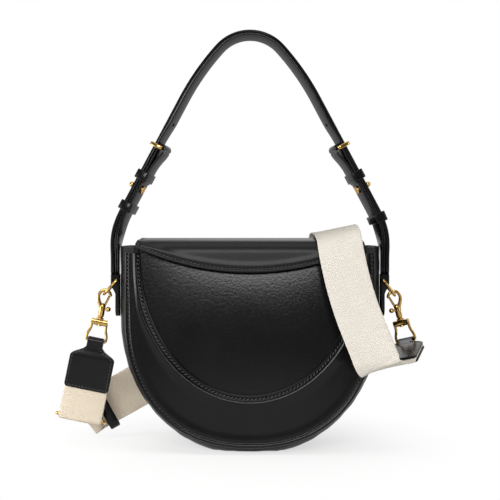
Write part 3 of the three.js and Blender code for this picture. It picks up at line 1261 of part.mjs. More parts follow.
// Slider: two bars under the running layer, one raised bar in the doubled layer's end loop
function sliderFrame() {
  const base = rearFrames[SLIDER_AT_STEP];
  const raised = LAYER_PITCH + sliderTurn;
  const lower = -WEBBING_THICKNESS / 2 - RUNNING_GAP - SLIDER_WIRE;
  const halfSpan = WEBBING_WIDTH / 2 + RUNNING_GAP;
  const bar = (along, height) => {
    const geometry = new THREE.CylinderGeometry(SLIDER_WIRE, SLIDER_WIRE, 2 * (halfSpan + SLIDER_PLATE), 10);
    geometry.translate(along, 0, height);
    return geometry;
  };
  const side = stripShape([
    new THREE.Vector2(-SLIDER_HALF_LENGTH - SLIDER_WIRE / 2, lower),
    new THREE.Vector2(-SLIDER_HALF_LENGTH * 0.6, lower + 0.55 * (raised - lower)),
    new THREE.Vector2(0, raised),
    new THREE.Vector2(SLIDER_HALF_LENGTH * 0.6, lower + 0.55 * (raised - lower)),
    new THREE.Vector2(SLIDER_HALF_LENGTH + SLIDER_WIRE / 2, lower),
  ], 2 * SLIDER_WIRE);
  const plate = (sign) => {
    const geometry = extrudeAlongY(side, SLIDER_PLATE);
    geometry.translate(0, sign * (halfSpan + SLIDER_PLATE / 2), 0);
    return geometry;
  };
  const geometry = join(
    bar(-SLIDER_HALF_LENGTH, lower),
    bar(SLIDER_HALF_LENGTH, lower),
    bar(0, raised),
    plate(1),
    plate(-1),
  );
  const matrix = new THREE.Matrix4().makeBasis(base.direction, base.across.clone(), base.normal.clone());
  matrix.setPosition(base.point);
  return geometry.applyMatrix4(matrix);
}

addPart(bag, 'strap_slider', sliderFrame(), goldBrass());

// Leather keeper round both layers
function strapKeeper() {
  const base = rearFrames[STRAP_KEEPER_AT_STEP];
  const halfWidth = WEBBING_WIDTH / 2 + RUNNING_GAP;
  const low = -WEBBING_LIFT - RUNNING_GAP;
  const high = LAYER_PITCH + WEBBING_LIFT + RUNNING_GAP;
  const band = bandRound(low, high, halfWidth, STRAP_KEEPER_WALL, STRAP_KEEPER_LENGTH);
  const matrix = new THREE.Matrix4().makeBasis(base.normal, base.across.clone().negate(), base.direction.clone());
  if (matrix.determinant() < 0) {
    matrix.makeBasis(base.normal, base.across, base.direction);
  }
  matrix.setPosition(base.point);
  return band.applyMatrix4(matrix);
}

addPart(bag, 'strap_keeper', strapKeeper(), blackLeather());

export default bag;
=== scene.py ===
from math import asin, atan, ceil, cos, exp, hypot, pi, radians, sin, sqrt, tan

import bmesh
import bpy
from mathutils import Matrix, Vector


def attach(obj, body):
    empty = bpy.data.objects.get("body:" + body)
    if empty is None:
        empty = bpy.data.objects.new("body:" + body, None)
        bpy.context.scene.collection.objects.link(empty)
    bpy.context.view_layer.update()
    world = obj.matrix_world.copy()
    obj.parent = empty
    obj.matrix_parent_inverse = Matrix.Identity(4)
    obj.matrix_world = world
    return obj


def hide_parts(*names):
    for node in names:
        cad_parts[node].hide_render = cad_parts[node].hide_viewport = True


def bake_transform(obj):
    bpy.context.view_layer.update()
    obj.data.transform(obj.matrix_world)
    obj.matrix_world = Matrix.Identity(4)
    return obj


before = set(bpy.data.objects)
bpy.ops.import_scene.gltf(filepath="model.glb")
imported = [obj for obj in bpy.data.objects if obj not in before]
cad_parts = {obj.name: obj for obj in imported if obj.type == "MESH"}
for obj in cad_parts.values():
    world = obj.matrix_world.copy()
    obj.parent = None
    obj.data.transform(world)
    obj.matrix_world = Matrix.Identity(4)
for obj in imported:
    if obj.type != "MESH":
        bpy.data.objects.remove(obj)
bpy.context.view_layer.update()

# The stand: a round white floor, a large lamp overhead, a wide one in front for the leather's
# highlights, four weaker ones round about, and a level camera a metre in front. The camera, and
# mirror rays that run off behind the object, see plain white; the rest of the room is dim.
SKY_LIGHT = 0.17
FLOOR_RADIUS = 6.0
camera = bpy.data.cameras.new("camera")
camera.lens = 84.5
camera.sensor_width = 36
camera.shift_y = -0.124
camera_object = bpy.data.objects.new("camera", camera)
camera_object.location = (0, -1.0, 0.22)
camera_object.rotation_euler = (pi / 2, 0, 0)
bpy.context.collection.objects.link(camera_object)
bpy.context.scene.camera = camera_object
bpy.context.scene.view_settings.view_transform = "Standard"


class Wire:
    """A node's socket; sums and products of wires and numbers add Math nodes."""

    def __init__(self, tree, socket=None):
        self.tree = tree
        self.socket = socket

    def node(self, kind, settings=(), values=(), out=0):
        made = self.tree.nodes.new("ShaderNode" + kind)
        for key, value in dict(settings).items():
            setattr(made, key, value)
        for key, value in dict(values).items():
            if isinstance(value, Wire):
                self.tree.links.new(value.socket, made.inputs[key])
            else:
                made.inputs[key].default_value = value
        return Wire(self.tree, made.outputs[out])

    def maths(self, operation, first, second=0.0):
        return self.node("Math", {"operation": operation}, {0: first, 1: second})

    def mix(self, first, second):
        """From one colour to another, by this wire."""
        return self.node("Mix", {"data_type": "RGBA"}, {0: self, 6: first, 7: second}, 2)

    def step(self, low, high, first=0.0, last=1.0):
        """Goes softly from first to last while this wire goes from low to high."""
        return self.node("MapRange", {"interpolation_type": "SMOOTHSTEP"},
                         {0: self, 1: low, 2: high, 3: first, 4: last})

    def __add__(self, other):
        return self.maths("ADD", self, other)

    def __sub__(self, other):
        return self.maths("SUBTRACT", self, other)

    def __rsub__(self, other):
        return self.maths("SUBTRACT", other, self)

    def __mul__(self, other):
        return self.maths("MULTIPLY", self, other)

    __radd__ = __add__
    __rmul__ = __mul__


def seen_white(wire, mirrored):
    """One for camera rays, and for mirror rays the share of them that see plain white."""
    camera_ray = wire.node("LightPath", out="Is Camera Ray")
    mirror_ray = wire.node("LightPath", out="Is Glossy Ray")
    return wire.maths("MAXIMUM", camera_ray, mirror_ray * mirrored)


world = bpy.data.worlds.new("sky")
world.use_nodes = True
bpy.context.scene.world = world
sky = Wire(world.node_tree)
rearward = sky.node("SeparateXYZ", (), {0: sky.node("TexCoord", out="Generated")}, "Y")
sky_white = seen_white(sky, rearward.step(0.0, 0.4))
backdrop = world.node_tree.nodes["Background"]
world.node_tree.links.new((sky_white * (1 - SKY_LIGHT) + SKY_LIGHT).socket, backdrop.inputs["Strength"])
backdrop.inputs["Color"].default_value = (1, 1, 1, 1)


def lamp(name, place, aim, size, power):
    data = bpy.data.lights.new(name, "AREA")
    data.shape = "RECTANGLE"
    data.size, data.size_y = size
    data.energy = power
    made = bpy.data.objects.new(name, data)
    made.location = place
    made.rotation_euler = (Vector(aim) - Vector(place)).to_track_quat("-Z", "Y").to_euler()
    bpy.context.collection.objects.link(made)


lamp("top_lamp", (-0.1, -0.25, 1.3), (0, 0, 0.1), (1.3, 0.7), 6)
lamp("front_lamp", (-0.2, -1.05, 0.57), (0, 0, 0.16), (1.0, 0.24), 11)
lamp("left_lamp", (-1.15, -0.55, 0.35), (0, 0, 0.1), (0.3, 0.6), 2)
lamp("right_lamp", (1.2, -0.4, 0.55), (0, 0, 0.15), (0.4, 0.9), 4)
lamp("low_lamp", (-0.55, -0.12, 0.1), (-0.1, 0.045, 0.05), (0.25, 0.2), 1.3)
lamp("back_lamp", (0.3, 1.2, 1.0), (0, 0, 0.15), (0.9, 0.5), 2)

floor_mesh = bpy.data.meshes.new("floor")
floor_bm = bmesh.new()
bmesh.ops.create_circle(floor_bm, cap_ends=True, segments=96, radius=FLOOR_RADIUS)
floor_bm.to_mesh(floor_mesh)
floor_bm.free()
floor = bpy.data.objects.new("floor", floor_mesh)
bpy.context.collection.objects.link(floor)
floor_paint = bpy.data.materials.new("white_floor")
floor_paint.use_nodes = True
floor_tree = floor_paint.node_tree
ground = Wire(floor_tree)
spot = ground.node("TexCoord", out="Object")
far = ground.node("VectorMath", {"operation": "LENGTH"}, {0: spot}, "Value")
behind = ground.node("SeparateXYZ", (), {0: spot}, "Y").step(0.05, 0.4)
near = far.step(1.0, 1.6, 1.0, 0.0)
floor_white = far.step(0.04, 0.2, 0.62, 1.0) * seen_white(ground, ground.maths("MAXIMUM", behind, near))
matt = ground.node("BsdfDiffuse", (), {"Color": (0.93, 0.925, 0.915, 1)})
bright = ground.node("Emission", (), {"Color": (1, 1, 1, 1)})
floor_mix = ground.node("MixShader", (), {0: floor_white, 1: matt, 2: bright})
floor_tree.links.new(floor_mix.socket, floor_tree.nodes["Material Output"].inputs["Surface"])
floor_mesh.materials.append(floor_paint)

# Lining: charcoal cotton twill, glued behind the panels and the gusset, with a slip pocket of the same
# cloth sewn to the back. The magnetic snap is nickelled steel, pressed through the panels.


def finish(name):
    """A new material, its bare wire, and a way to join a wire to its main shader."""
    material = bpy.data.materials.new(name)
    material.use_nodes = True
    tree = material.node_tree
    shader = tree.nodes["Principled BSDF"]

    def join(**wires):
        for key, wire in wires.items():
            socket = shader.inputs[key.replace("_", " ").title().replace("Ior", "IOR")]
            if isinstance(wire, Wire):
                tree.links.new(wire.socket, socket)
            else:
                socket.default_value = wire
    return material, Wire(tree), join


def noise(wire, where, scale, detail=2.0):
    return wire.node("TexNoise", (), {"Vector": where, "Scale": scale, "Detail": detail}, "Fac")


def bump(wire, height, strength, depth):
    return wire.node("Bump", (), {"Height": height, "Strength": strength, "Distance": depth})


def twill_cloth():
    material, wire, join = finish("charcoal_twill")
    where = wire.node("TexCoord", out="Object")
    ribs = wire.node("TexWave", {"bands_direction": "DIAGONAL"}, {"Vector": where, "Scale": 420.0,
                     "Distortion": 0.6, "Detail": 1.0}, "Fac")
    tone = noise(wire, where, 60.0) * 0.6 + ribs * 0.4
    join(base_color=tone.mix((0.012, 0.012, 0.0125, 1), (0.028, 0.027, 0.027, 1)), roughness=0.9,
         normal=bump(wire, ribs, 0.35, 0.0003))
    return material


def nickelled_steel():
    material, wire, join = finish("nickelled_steel")
    where = wire.node("TexCoord", out="Object")
    join(base_color=(0.5, 0.5, 0.5, 1), metallic=1.0,
         roughness=noise(wire, where, 180.0) * 0.2 + 0.22)
    return material


def dress(node, material):
    """Gives a CAD node, whose shape is already right, its finish."""
    mesh = bpy.data.objects[node].data
    mesh.materials.clear()
    mesh.materials.append(material)


lining_cloth = twill_cloth()
snap_steel = nickelled_steel()
for node in ("lining_front", "lining_back", "lining_gusset", "inner_pocket"):
    dress(node, lining_cloth)
for node in ("snap_socket", "snap_stud"):
    dress(node, snap_steel)

# Panels: black calf leather, finely grained in front and smooth behind, each a half moon that leans in
# and swells a little from what is inside. The crescent lies on the front one; both panels are sewn to
# the gusset round the rim.
MM = 0.001
HALF_WIDTH = 104.5
BOTTOM = 5.5
CURVE_TOP = 116.0
CURVE_POWER = 2.25
FRONT_TOP = 166.0
BODY_TOP = 170.5
HALF_DEPTH = 35.0
HALF_DEPTH_TOP = 20.0
LEAN = atan((HALF_DEPTH - HALF_DEPTH_TOP) / BODY_TOP)
PANEL = 2.0
FRONT_SET_BACK = 2.15
SWELL = 4.5
SWELL_AT = 95.0
SWELL_HALF_WIDTH = 100.0
LEATHER_DARK = (0.0018, 0.0018, 0.0019)
LEATHER_LIGHT = (0.0045, 0.0044, 0.0044)


def black_leather(name, tone=1.0, gloss=0.0, grained=0.05, pore=900.0, crease=380.0):
    material, wire, join = finish(name)
    where = wire.node("TexCoord", out="Object")
    cloud = noise(wire, where, 22.0, 3.0)
    pores = wire.node("TexVoronoi", (), {"Vector": where, "Scale": pore}, "Distance")
    creases = noise(wire, where, crease, 3.0)
    dark, light = (tuple(tone * c for c in colour) + (1,) for colour in (LEATHER_DARK, LEATHER_LIGHT))
    grain = pores * 0.5 + creases * 0.8
    join(base_color=cloud.mix(dark, light),
         roughness=cloud * 0.06 + creases * 0.08 + (0.14 - gloss),
         specular_ior_level=0.21, normal=bump(wire, grain, grained, 0.0005))
    return material


def loft(rings, closed=False, uv=None):
    """A skin over rings of as many points each, capped at both ends unless it closes on itself."""
    around = len(rings[0])
    rows = rings + rings[:1] if closed else rings
    bm = bmesh.new()
    bmesh.ops.create_grid(bm, x_segments=around, y_segments=len(rows) - 1, size=0.5)
    low = min(v.co.x for v in bm.verts)
    span = max(v.co.x for v in bm.verts) - low
    place = {v: (round((v.co.x - low) / span * around), round((v.co.y - low) / span * (len(rows) - 1)))
             for v in bm.verts}
    if uv:
        layer = bm.loops.layers.uv.new("cloth")
        for face in bm.faces:
            for corner in face.loops:
                corner[layer].uv = uv(*place[corner.vert])
    for v, (i, j) in place.items():
        v.co = rows[j][i % around]
    bmesh.ops.remove_doubles(bm, verts=bm.verts, dist=0.0005)
    bmesh.ops.dissolve_degenerate(bm, dist=0.0004, edges=bm.edges)
    if not closed:
        bmesh.ops.holes_fill(bm, edges=[e for e in bm.edges if e.is_boundary], sides=0)
    bmesh.ops.recalc_face_normals(bm, faces=bm.faces)
    return bm


def joined(*shells):
    """Several closed shells as one mesh."""
    whole = shells[0]
    for shell in shells[1:]:
        spare = bpy.data.meshes.new("spare")
        shell.to_mesh(spare)
        shell.free()
        whole.from_mesh(spare)
        bpy.data.meshes.remove(spare)
    return whole


def piece(name, bm, material, body, slot, *nodes, sharp=35, move=None):
    """The finished piece in metres, in its place, on its body."""
    bmesh.ops.transform(bm, matrix=Matrix.Scale(MM, 4) @ (move or Matrix()), verts=bm.verts)
    mesh = bpy.data.meshes.new(name)
    bm.to_mesh(mesh)
    bm.free()
    mesh.materials.append(material)
    mesh.shade_smooth()
    mesh.set_sharp_from_angle(angle=radians(sharp))
    made = bpy.data.objects.new(name, mesh)
    bpy.context.collection.objects.link(made)
    if body:
        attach(made, body)
    if nodes:
        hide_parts(*nodes)
    return made


def on_panel(x, height, out, side):
    """A point on a leaning panel, out from its face; side is -1 in front and 1 behind."""
    return Vector((x, side * (HALF_DEPTH + out * cos(LEAN) - height * sin(LEAN)),
                   height * cos(LEAN) + out * sin(LEAN)))


def half_width(height, inset=0.0):
    drop = max(0.0, (CURVE_TOP - height) / (CURVE_TOP - BOTTOM - inset))
    return (HALF_WIDTH - inset) * max(0.0, 1 - drop ** CURVE_POWER) ** (1 / CURVE_POWER)


def rim_distance(angle, top):
    """How far the rim is from the middle of the top edge, at an angle below it."""
    low, high = 0.0, 200.0
    for _ in range(40):
        middle = (low + high) / 2
        inside = abs(middle * cos(angle)) < half_width(top + middle * sin(angle))
        low, high = (middle, high) if inside else (low, middle)
    return low


def swell(x, height, share):
    """Outward swelling, none at the rim, where share is 1."""
    across = max(0.0, 1 - (x / SWELL_HALF_WIDTH) ** 2)
    above = (height - SWELL_AT) / (FRONT_TOP - SWELL_AT)
    up = max(0.0, 1 - (above ** 2.2 if above > 0 else (1 - height / SWELL_AT) ** 2))
    return SWELL * across * up * (1 - share ** 5)


def half_moon(top, set_back, side, rays=120, stations=26):
    """A swelling sheet over rays from the middle of its straight top edge."""
    shares = [1 - (1 - i / stations) ** 1.6 for i in range(stations + 1)]
    rings = []
    for j in range(rays + 1):
        angle = pi + pi * j / rays
        rim = rim_distance(angle, top)
        outer, inner = [], []
        for share in shares:
            x, height = rim * share * cos(angle), top + rim * share * sin(angle)
            out = swell(x, height, share) - set_back
            outer.append(on_panel(x, height, out, side))
            inner.append(on_panel(x, height, out - PANEL, side))
        rings.append(outer + inner[::-1])
    return loft(rings)


panel_leather = black_leather("panel_leather", grained=0.15, pore=540.0, crease=460.0)
leather = black_leather("black_leather")
piece("front_panel_leather", half_moon(FRONT_TOP, FRONT_SET_BACK, -1), panel_leather, "bag",
      "black_leather", "front_panel")
piece("back_panel_leather", half_moon(BODY_TOP, 0.0, 1), leather, "bag",
      "black_leather", "back_panel")

# Crescent: a thicker leather overlay, cut out by half an ellipse. Its cut edge is turned, padded
# and sewn down with slanting stitches, and its rim is stitched through all layers.
CUT_HALF_WIDTH = 91.5
CUT_DEPTH = 116.5
CRESCENT = 1.8
CUT_SEAM = 3.7
RIM_SEAM = 4.0
EDGE_ROUND = 1.5
CUT_FOLDS = ((0.55, 1.7, 1.2), (-0.75, CUT_SEAM, 0.8), (1.6, 7.4, 2.5))
RIM_FOLDS = ((0.35, 1.8, 1.3), (-0.65, RIM_SEAM, 0.8), (0.5, 6.6, 1.8))
SEAM_ROOM = 22.0
LEAST_ROOM = 0.58
STITCH = 3.3


def crescent_span(angle):
    """The cut's and the rim's distance along a ray, and how far its seams are drawn together."""
    cut = 1 / hypot(cos(angle) / CUT_HALF_WIDTH, sin(angle) / CUT_DEPTH)
    rim = rim_distance(angle, FRONT_TOP)
    return cut, rim, min(1.0, max(LEAST_ROOM, (rim - cut) / SEAM_ROOM))


def folds(distance, shapes):
    """Relief at a distance from an edge, from ridges and grooves given as (height, place, width)."""
    return sum(height * exp(-((distance - place) / width) ** 2) for height, place, width in shapes)


def crescent_height(from_cut, from_rim):
    """Relief over the overlay's face: turned lip, seam, padded ridge, then the rim's seam and lip."""
    relief = folds(from_cut, CUT_FOLDS) + folds(from_rim, RIM_FOLDS)
    for edge in (from_cut, from_rim):
        relief -= EDGE_ROUND * (1 - sqrt(1 - max(0.0, 1 - edge / EDGE_ROUND) ** 2))
    return relief


def crescent_point(angle, from_cut, depth=0.0, lift=0.0):
    cut, rim, tight = crescent_span(angle)
    r = cut + from_cut
    x, height = r * cos(angle), FRONT_TOP + r * sin(angle)
    relief = crescent_height(from_cut / tight, (rim - r) / tight)
    return on_panel(x, height, swell(x, height, r / rim) + (relief if not depth else -depth) + lift, -1)


def crescent():
    near = (0, 0.12, 0.35, 0.7, 1.3, 2.1, 2.9, 3.3, 3.7, 4.1, 4.6, 5.5, 6.4, 7.4, 8.6, 10, 11.5)
    far = (8.6, 7.4, 6.4, 5.4, 4.7, 4.3, 4, 3.7, 3.3, 2.6, 1.8, 1, 0.6, 0.3, 0.12, 0)
    rings = []
    for j in range(181):
        angle = pi + pi * j / 180
        cut, rim, tight = crescent_span(angle)
        width = rim - cut
        inner = [n * tight for n in near]
        outer = [width - f * tight for f in far]
        between = [inner[-1] + (outer[0] - inner[-1]) * k / 6 for k in range(1, 6)]
        front = [crescent_point(angle, d) for d in inner + between + outer]
        behind = [crescent_point(angle, d, CRESCENT) for d in (width - 0.1, width / 2, 0.1)]
        rings.append(front + behind)
    return loft(rings)


piece("front_crescent_leather", crescent(), leather, "bag", "black_leather", "front_crescent")


def waxed_thread(name, tone):
    material, wire, join = finish(name)
    where = wire.node("TexCoord", out="Object")
    fibre = noise(wire, where, 2600.0)
    shade = tuple(0.75 * c for c in tone) + (1,)
    join(base_color=fibre.mix(shade, tuple(tone) + (1,)), roughness=0.55,
         normal=bump(wire, fibre, 0.3, 0.0001))
    return material


# The thread is a lighter dark grey than black leather: the lighter colour is painted sheen standing in for
# the waxed thread's highlights.
black_thread = waxed_thread("black_thread", (0.045, 0.044, 0.043))


def stitches(bm, line, pitch=STITCH, length=2.5, size=0.75, slant=14.0):
    """Slanting thread beads along a line of (point, outward normal) pairs."""
    steps = [(b[0] - a[0]).length for a, b in zip(line, line[1:])]
    count = max(1, round(sum(steps) / pitch))
    spacing = sum(steps) / count
    due, walked = spacing / 2, 0.0
    for (a, na), (b, nb), step in zip(line, line[1:], steps):
        while step > 0 and due <= walked + step + 1e-6:
            share = (due - walked) / step
            along = (b - a).normalized()
            up = na.lerp(nb, share)
            up = (up - along * up.dot(along)).normalized()
            spot = a.lerp(b, share)
            turn = Matrix((along, up.cross(along), up)).transposed().to_4x4()
            bead = (Matrix.Translation(spot) @ turn @ Matrix.Rotation(radians(slant), 4, "Z")
                    @ Matrix.Diagonal((length / 2, size / 2, size / 2, 1)))
            bmesh.ops.create_uvsphere(bm, u_segments=6, v_segments=4, radius=1,
                                      matrix=bead @ Matrix.Rotation(pi / 2, 4, "Y"))
            due += spacing
        walked += step


panel_out = Vector((0, -cos(LEAN), sin(LEAN)))
arc = [pi + pi * (j + 0.5) / 240 for j in range(240)]
cut_stitches, rim_stitches = [], []
for angle in arc:
    cut, rim, tight = crescent_span(angle)
    cut_stitches.append((crescent_point(angle, CUT_SEAM * tight, lift=0.4), panel_out))
    rim_stitches.append((crescent_point(angle, rim - cut - RIM_SEAM * tight, lift=0.3), panel_out))
front_seams = bmesh.new()
stitches(front_seams, cut_stitches, length=3.1, size=1.0, slant=30.0)
stitches(front_seams, rim_stitches)
piece("front_seams", front_seams, black_thread, "bag", "black_leather")

# Gusset: one long strip of softer leather round the sides and base, creased next to both rims,
# its flanges sewn inside the panels. It bulges past the rim and is flat where the bag stands.
GUSSET_WALL = 1.8
GUSSET_FLANGE = 7.0
GUSSET_CREASE = 3.5
SIDE_BULGE = 5.5
BASE_BULGE = 11.0
BULGE_POWER = 6
RIPPLE = 0.25
FRONT_STACK = 4.5
BACK_STACK = 2.35


def rim_line(steps=64):
    """Points round the outline from the top left over the base to the top right."""
    right = [(HALF_WIDTH, BODY_TOP + (CURVE_TOP - BODY_TOP) * k / 14) for k in range(14)]
    for k in range(steps + 1):
        angle = pi / 2 * k / steps
        right.append((HALF_WIDTH * max(0.0, cos(angle)) ** (2 / CURVE_POWER),
                      CURVE_TOP - (CURVE_TOP - BOTTOM) * sin(angle) ** (2 / CURVE_POWER)))
    right[-1] = (0.0, BOTTOM)
    return [(-x, z) for x, z in right[:-1]] + right[::-1]


def outward(line, i):
    a, b = line[max(i - 1, 0)], line[min(i + 1, len(line) - 1)]
    way = Vector((b[0] - a[0], b[1] - a[1])).normalized()
    return Vector((way.y, -way.x))


def gusset():
    line = rim_line()
    shares = (0.03, 0.08, 0.15, 0.24, 0.35, 0.48, 0.62, 0.8)
    rings = []
    for i, (x, z) in enumerate(line):
        out = outward(line, i)
        bulge = SIDE_BULGE + (BASE_BULGE - SIDE_BULGE) * max(0.0, -out.y) ** BULGE_POWER
        rise = bulge + GUSSET_CREASE
        ripple = RIPPLE * sin(i * 0.9) * sin(i * 0.23 + 1)

        def at(reach, share, setting, side, lift):
            px = x + out.x * reach
            pz = max(z + out.y * reach, lift)
            depth = HALF_DEPTH - pz * tan(LEAN)
            near, away = -depth + FRONT_STACK / cos(LEAN), depth - BACK_STACK / cos(LEAN)
            start = near + setting if side < 0 else away - setting
            return Vector((px, start + share * ((near + away) / 2 - start), pz))

        def wall(side):
            rows = [at(0.0, 0, GUSSET_WALL, side, 0), at(-1.8, 0, GUSSET_WALL + 0.3, side, 0),
                    at(-GUSSET_CREASE, 0, GUSSET_WALL + 0.9, side, 0)]
            return rows + [at(-GUSSET_CREASE + rise * sin(pi / 2 * s ** 0.62) + ripple * sin(pi * s),
                              s, GUSSET_WALL + 0.6, side, 0) for s in shares]

        def inside(side):
            base = -GUSSET_CREASE - GUSSET_WALL
            return [at(0.0, 0, 0, side, 0), at(-GUSSET_FLANGE, 0, 0, side, GUSSET_WALL),
                    at(-GUSSET_FLANGE + 0.3, 0, GUSSET_WALL + 1.2, side, GUSSET_WALL),
                    at(base + 0.55 * rise, 0.27, GUSSET_WALL, side, GUSSET_WALL),
                    at(base + 0.88 * rise, 0.54, GUSSET_WALL, side, GUSSET_WALL)]

        rings.append(wall(-1) + [at(bulge, 1, 0, -1, 0)] + wall(1)[::-1] + inside(1)
                     + [at(bulge - GUSSET_WALL, 1, 0, 1, GUSSET_WALL)] + inside(-1)[::-1])
    return loft(rings)


soft_leather = black_leather("soft_black_leather", 0.9, -0.24)
piece("gusset_leather", gusset(), soft_leather, "bag", "black_leather", "gusset", sharp=60)

# Flap: one thick piece of the same leather, hinged at the back, over the top and down the front. Its
# hem is turned and stitched, which leaves a ridge above the edge.
FLAP_HALF_WIDTH = 97.0
FLAP_HINGE_HALF_WIDTH = 91.5
FLAP_WIDTHS = ((-26.5, FLAP_HALF_WIDTH), (-18.0, 94.25), (20.0, FLAP_HINGE_HALF_WIDTH))
FLAP_HALF_THICKNESS = 1.3
HINGE = (21.25, 174.2)
FLAP_BEND = (-16.39, 165.3)
BEND_RADIUS = 10.0
CROWN = 2.2
HEM_LOW = 149.7
HEM_RADIUS = 228.0
HEM_CORNER = 5.0
HEM_SEAM = 3.0
FLAP_EDGE = 1.2
EDGE_FOLDS = ((-0.5, HEM_SEAM, 0.75), (0.2, 1.4, 1.0))
HEM_FOLDS = ((0.55, 5.8, 2.0),)


def flap_line():
    """The flap's middle line in depth and height, from the hinge over the bend and down the front."""
    line = []
    for k in range(25):
        share = k / 24
        rise = CROWN / 2 * share + 0.6 * CROWN * sin(pi * share)
        line.append(Vector((HINGE[0] + (FLAP_BEND[0] - HINGE[0]) * share, HINGE[1] + rise)))
    for k in range(1, 13):
        angle = pi / 2 + (pi / 2 - LEAN) * k / 12
        line.append(Vector(FLAP_BEND) + Vector((cos(angle), sin(angle))) * BEND_RADIUS)
    end = line[-1]
    return line + [Vector((end.x - d * sin(LEAN), end.y - d * cos(LEAN))) for d in range(1, 26)]


def along_line(line, reach):
    """The point and direction at a distance along a flat line."""
    for a, b in zip(line, line[1:]):
        step = (b - a).length
        if reach <= step or b is line[-1]:
            return a + (b - a) * (reach / step), (b - a) / step
        reach -= step


def reach_of_height(line, height):
    """How far along the flap's line its front comes down to a height."""
    reach = 0.0
    for i, (a, b) in enumerate(zip(line, line[1:])):
        if i > 24 and b.y <= height:
            return reach + (b - a).length * (a.y - height) / (a.y - b.y)
        reach += (b - a).length
    return reach


def flap_half_width(depth):
    """Half the flap's width, which narrows from the front to the hinge."""
    for (front, wide), (behind, narrow) in zip(FLAP_WIDTHS, FLAP_WIDTHS[1:]):
        if depth <= behind:
            return wide + max(0.0, (depth - front) / (behind - front)) * (narrow - wide)
    return FLAP_HINGE_HALF_WIDTH


def hem_height(x):
    flat = FLAP_HALF_WIDTH - HEM_CORNER
    height = HEM_LOW + HEM_RADIUS - sqrt(HEM_RADIUS ** 2 - min(abs(x), flat) ** 2)
    if abs(x) > flat:
        turn = min(1.0, (abs(x) - flat) / HEM_CORNER)
        height += 0.44 * (abs(x) - flat) * (1 - turn) + HEM_CORNER * (1 - sqrt(1 - turn ** 2))
    return height


def flap_relief(from_hem, from_side):
    """Relief over the flap's face: the seam along its edges, and the turned hem's ridge."""
    return folds(min(from_hem, from_side), EDGE_FOLDS) + folds(from_hem, HEM_FOLDS)


def flap_point(line, column, reach, out):
    """A point and its normal; a column is a share of the half width and a set-off from there."""
    spot, way = along_line(line, reach)
    outer = Vector((way.y, -way.x))
    x = column[0] * flap_half_width(spot.x) + column[1]
    return Vector((x, spot.x + outer.x * out, spot.y + outer.y * out)), Vector((0, outer.x, outer.y))


def flap():
    line = flap_line()
    half = FLAP_HALF_THICKNESS
    edge = [0, 0.15, 0.5, 1.0, 1.8, 2.5, 3, 3.5, 4.3, 5.5]
    inner_edge = 8.5
    columns = [(-1, e) for e in edge]
    columns += [(k / 30 - 1, inner_edge * (1 - k / 30)) for k in range(61)]
    columns += [(1, -e) for e in edge[::-1]]
    hem = [8.5, 7, 5.8, 4.8, 4, 3.5, 3, 2.5, 1.9, 1.3, 0.8, 0.4, 0.15, 0]
    rings = []
    for column in columns:
        front_x = column[0] * FLAP_HALF_WIDTH + column[1]
        from_side = FLAP_HALF_WIDTH - abs(front_x)
        length = reach_of_height(line, hem_height(front_x))
        round_off = half * sqrt(max(0.0, 1 - max(0.0, 1 - from_side / FLAP_EDGE) ** 2)) + 0.02
        reaches = [(length - hem[0]) * k / 46 for k in range(46)] + [length - h for h in hem]
        outer, inner = [], []
        for reach in reaches:
            thin = sqrt(max(0.0, 1 - max(0.0, 1 - (length - reach) / FLAP_EDGE) ** 2))
            thick = round_off * (0.15 + 0.85 * thin)
            lip = flap_relief(length - reach, from_side) * min(1.0, thick / half) * min(1, reach / 20)
            outer.append(flap_point(line, column, reach, thick + lip)[0])
            inner.append(flap_point(line, column, reach, -thick)[0])
        rings.append(outer + inner[::-1])
    return loft(rings)


flap_leather = black_leather("flap_leather", 1.0, -0.17)
piece("flap_cover", flap(), flap_leather, "flap", "black_leather", "flap")
flap_middle = flap_line()
flap_seam = []
seam_half = FLAP_HALF_WIDTH - HEM_SEAM
seam_out = FLAP_HALF_THICKNESS - 0.2
for k in range(121):
    x = -seam_half + 2 * seam_half * k / 120
    reach = reach_of_height(flap_middle, hem_height(x)) - HEM_SEAM
    flap_seam.append(flap_point(flap_middle, (0, x), reach, seam_out))
seam_end = reach_of_height(flap_middle, hem_height(seam_half)) - HEM_SEAM
for side in (-1, 1):
    up = [flap_point(flap_middle, (side, -side * HEM_SEAM), seam_end * k / 30, seam_out)
          for k in range(5, 30)]
    flap_seam = up + flap_seam if side < 0 else flap_seam + up[::-1]
flap_stitches = bmesh.new()
stitches(flap_stitches, flap_seam)
piece("flap_seam", flap_stitches, black_thread, "flap", "black_leather")

# Hinge strip: a flat strip of the same leather, sewn across the top of the back panel, that the flap
# turns on. The back panel's own seam runs round the rim below it.
STRIP = 1.8
STRIP_LOW = 148.4
STRIP_OUT = 0.35 + STRIP / 2
STRIP_ROWS = ((0, 0.4), (0.3, 0.8), (0.9, 1), (6, 1), (12, 1), (18, 1), (23.1, 1), (23.7, 0.8), (24, 0.4))
STRIP_SEAMS = (2.5, 20.0)
STRIP_SEAM_HALF = 88.0


def rounded(width, thickness, radius, steps=4):
    """A closed section with round corners, as (across, through) pairs."""
    radius = min(radius, thickness / 2 - 0.01, width / 2 - 0.01)
    points = []
    for across, through, start in ((1, 1, 0), (-1, 1, 1), (-1, -1, 2), (1, -1, 3)):
        for k in range(steps + 1):
            angle = pi / 2 * (start + k / steps)
            points.append((across * (width / 2 - radius) + radius * cos(angle),
                           through * (thickness / 2 - radius) + radius * sin(angle)))
    return points


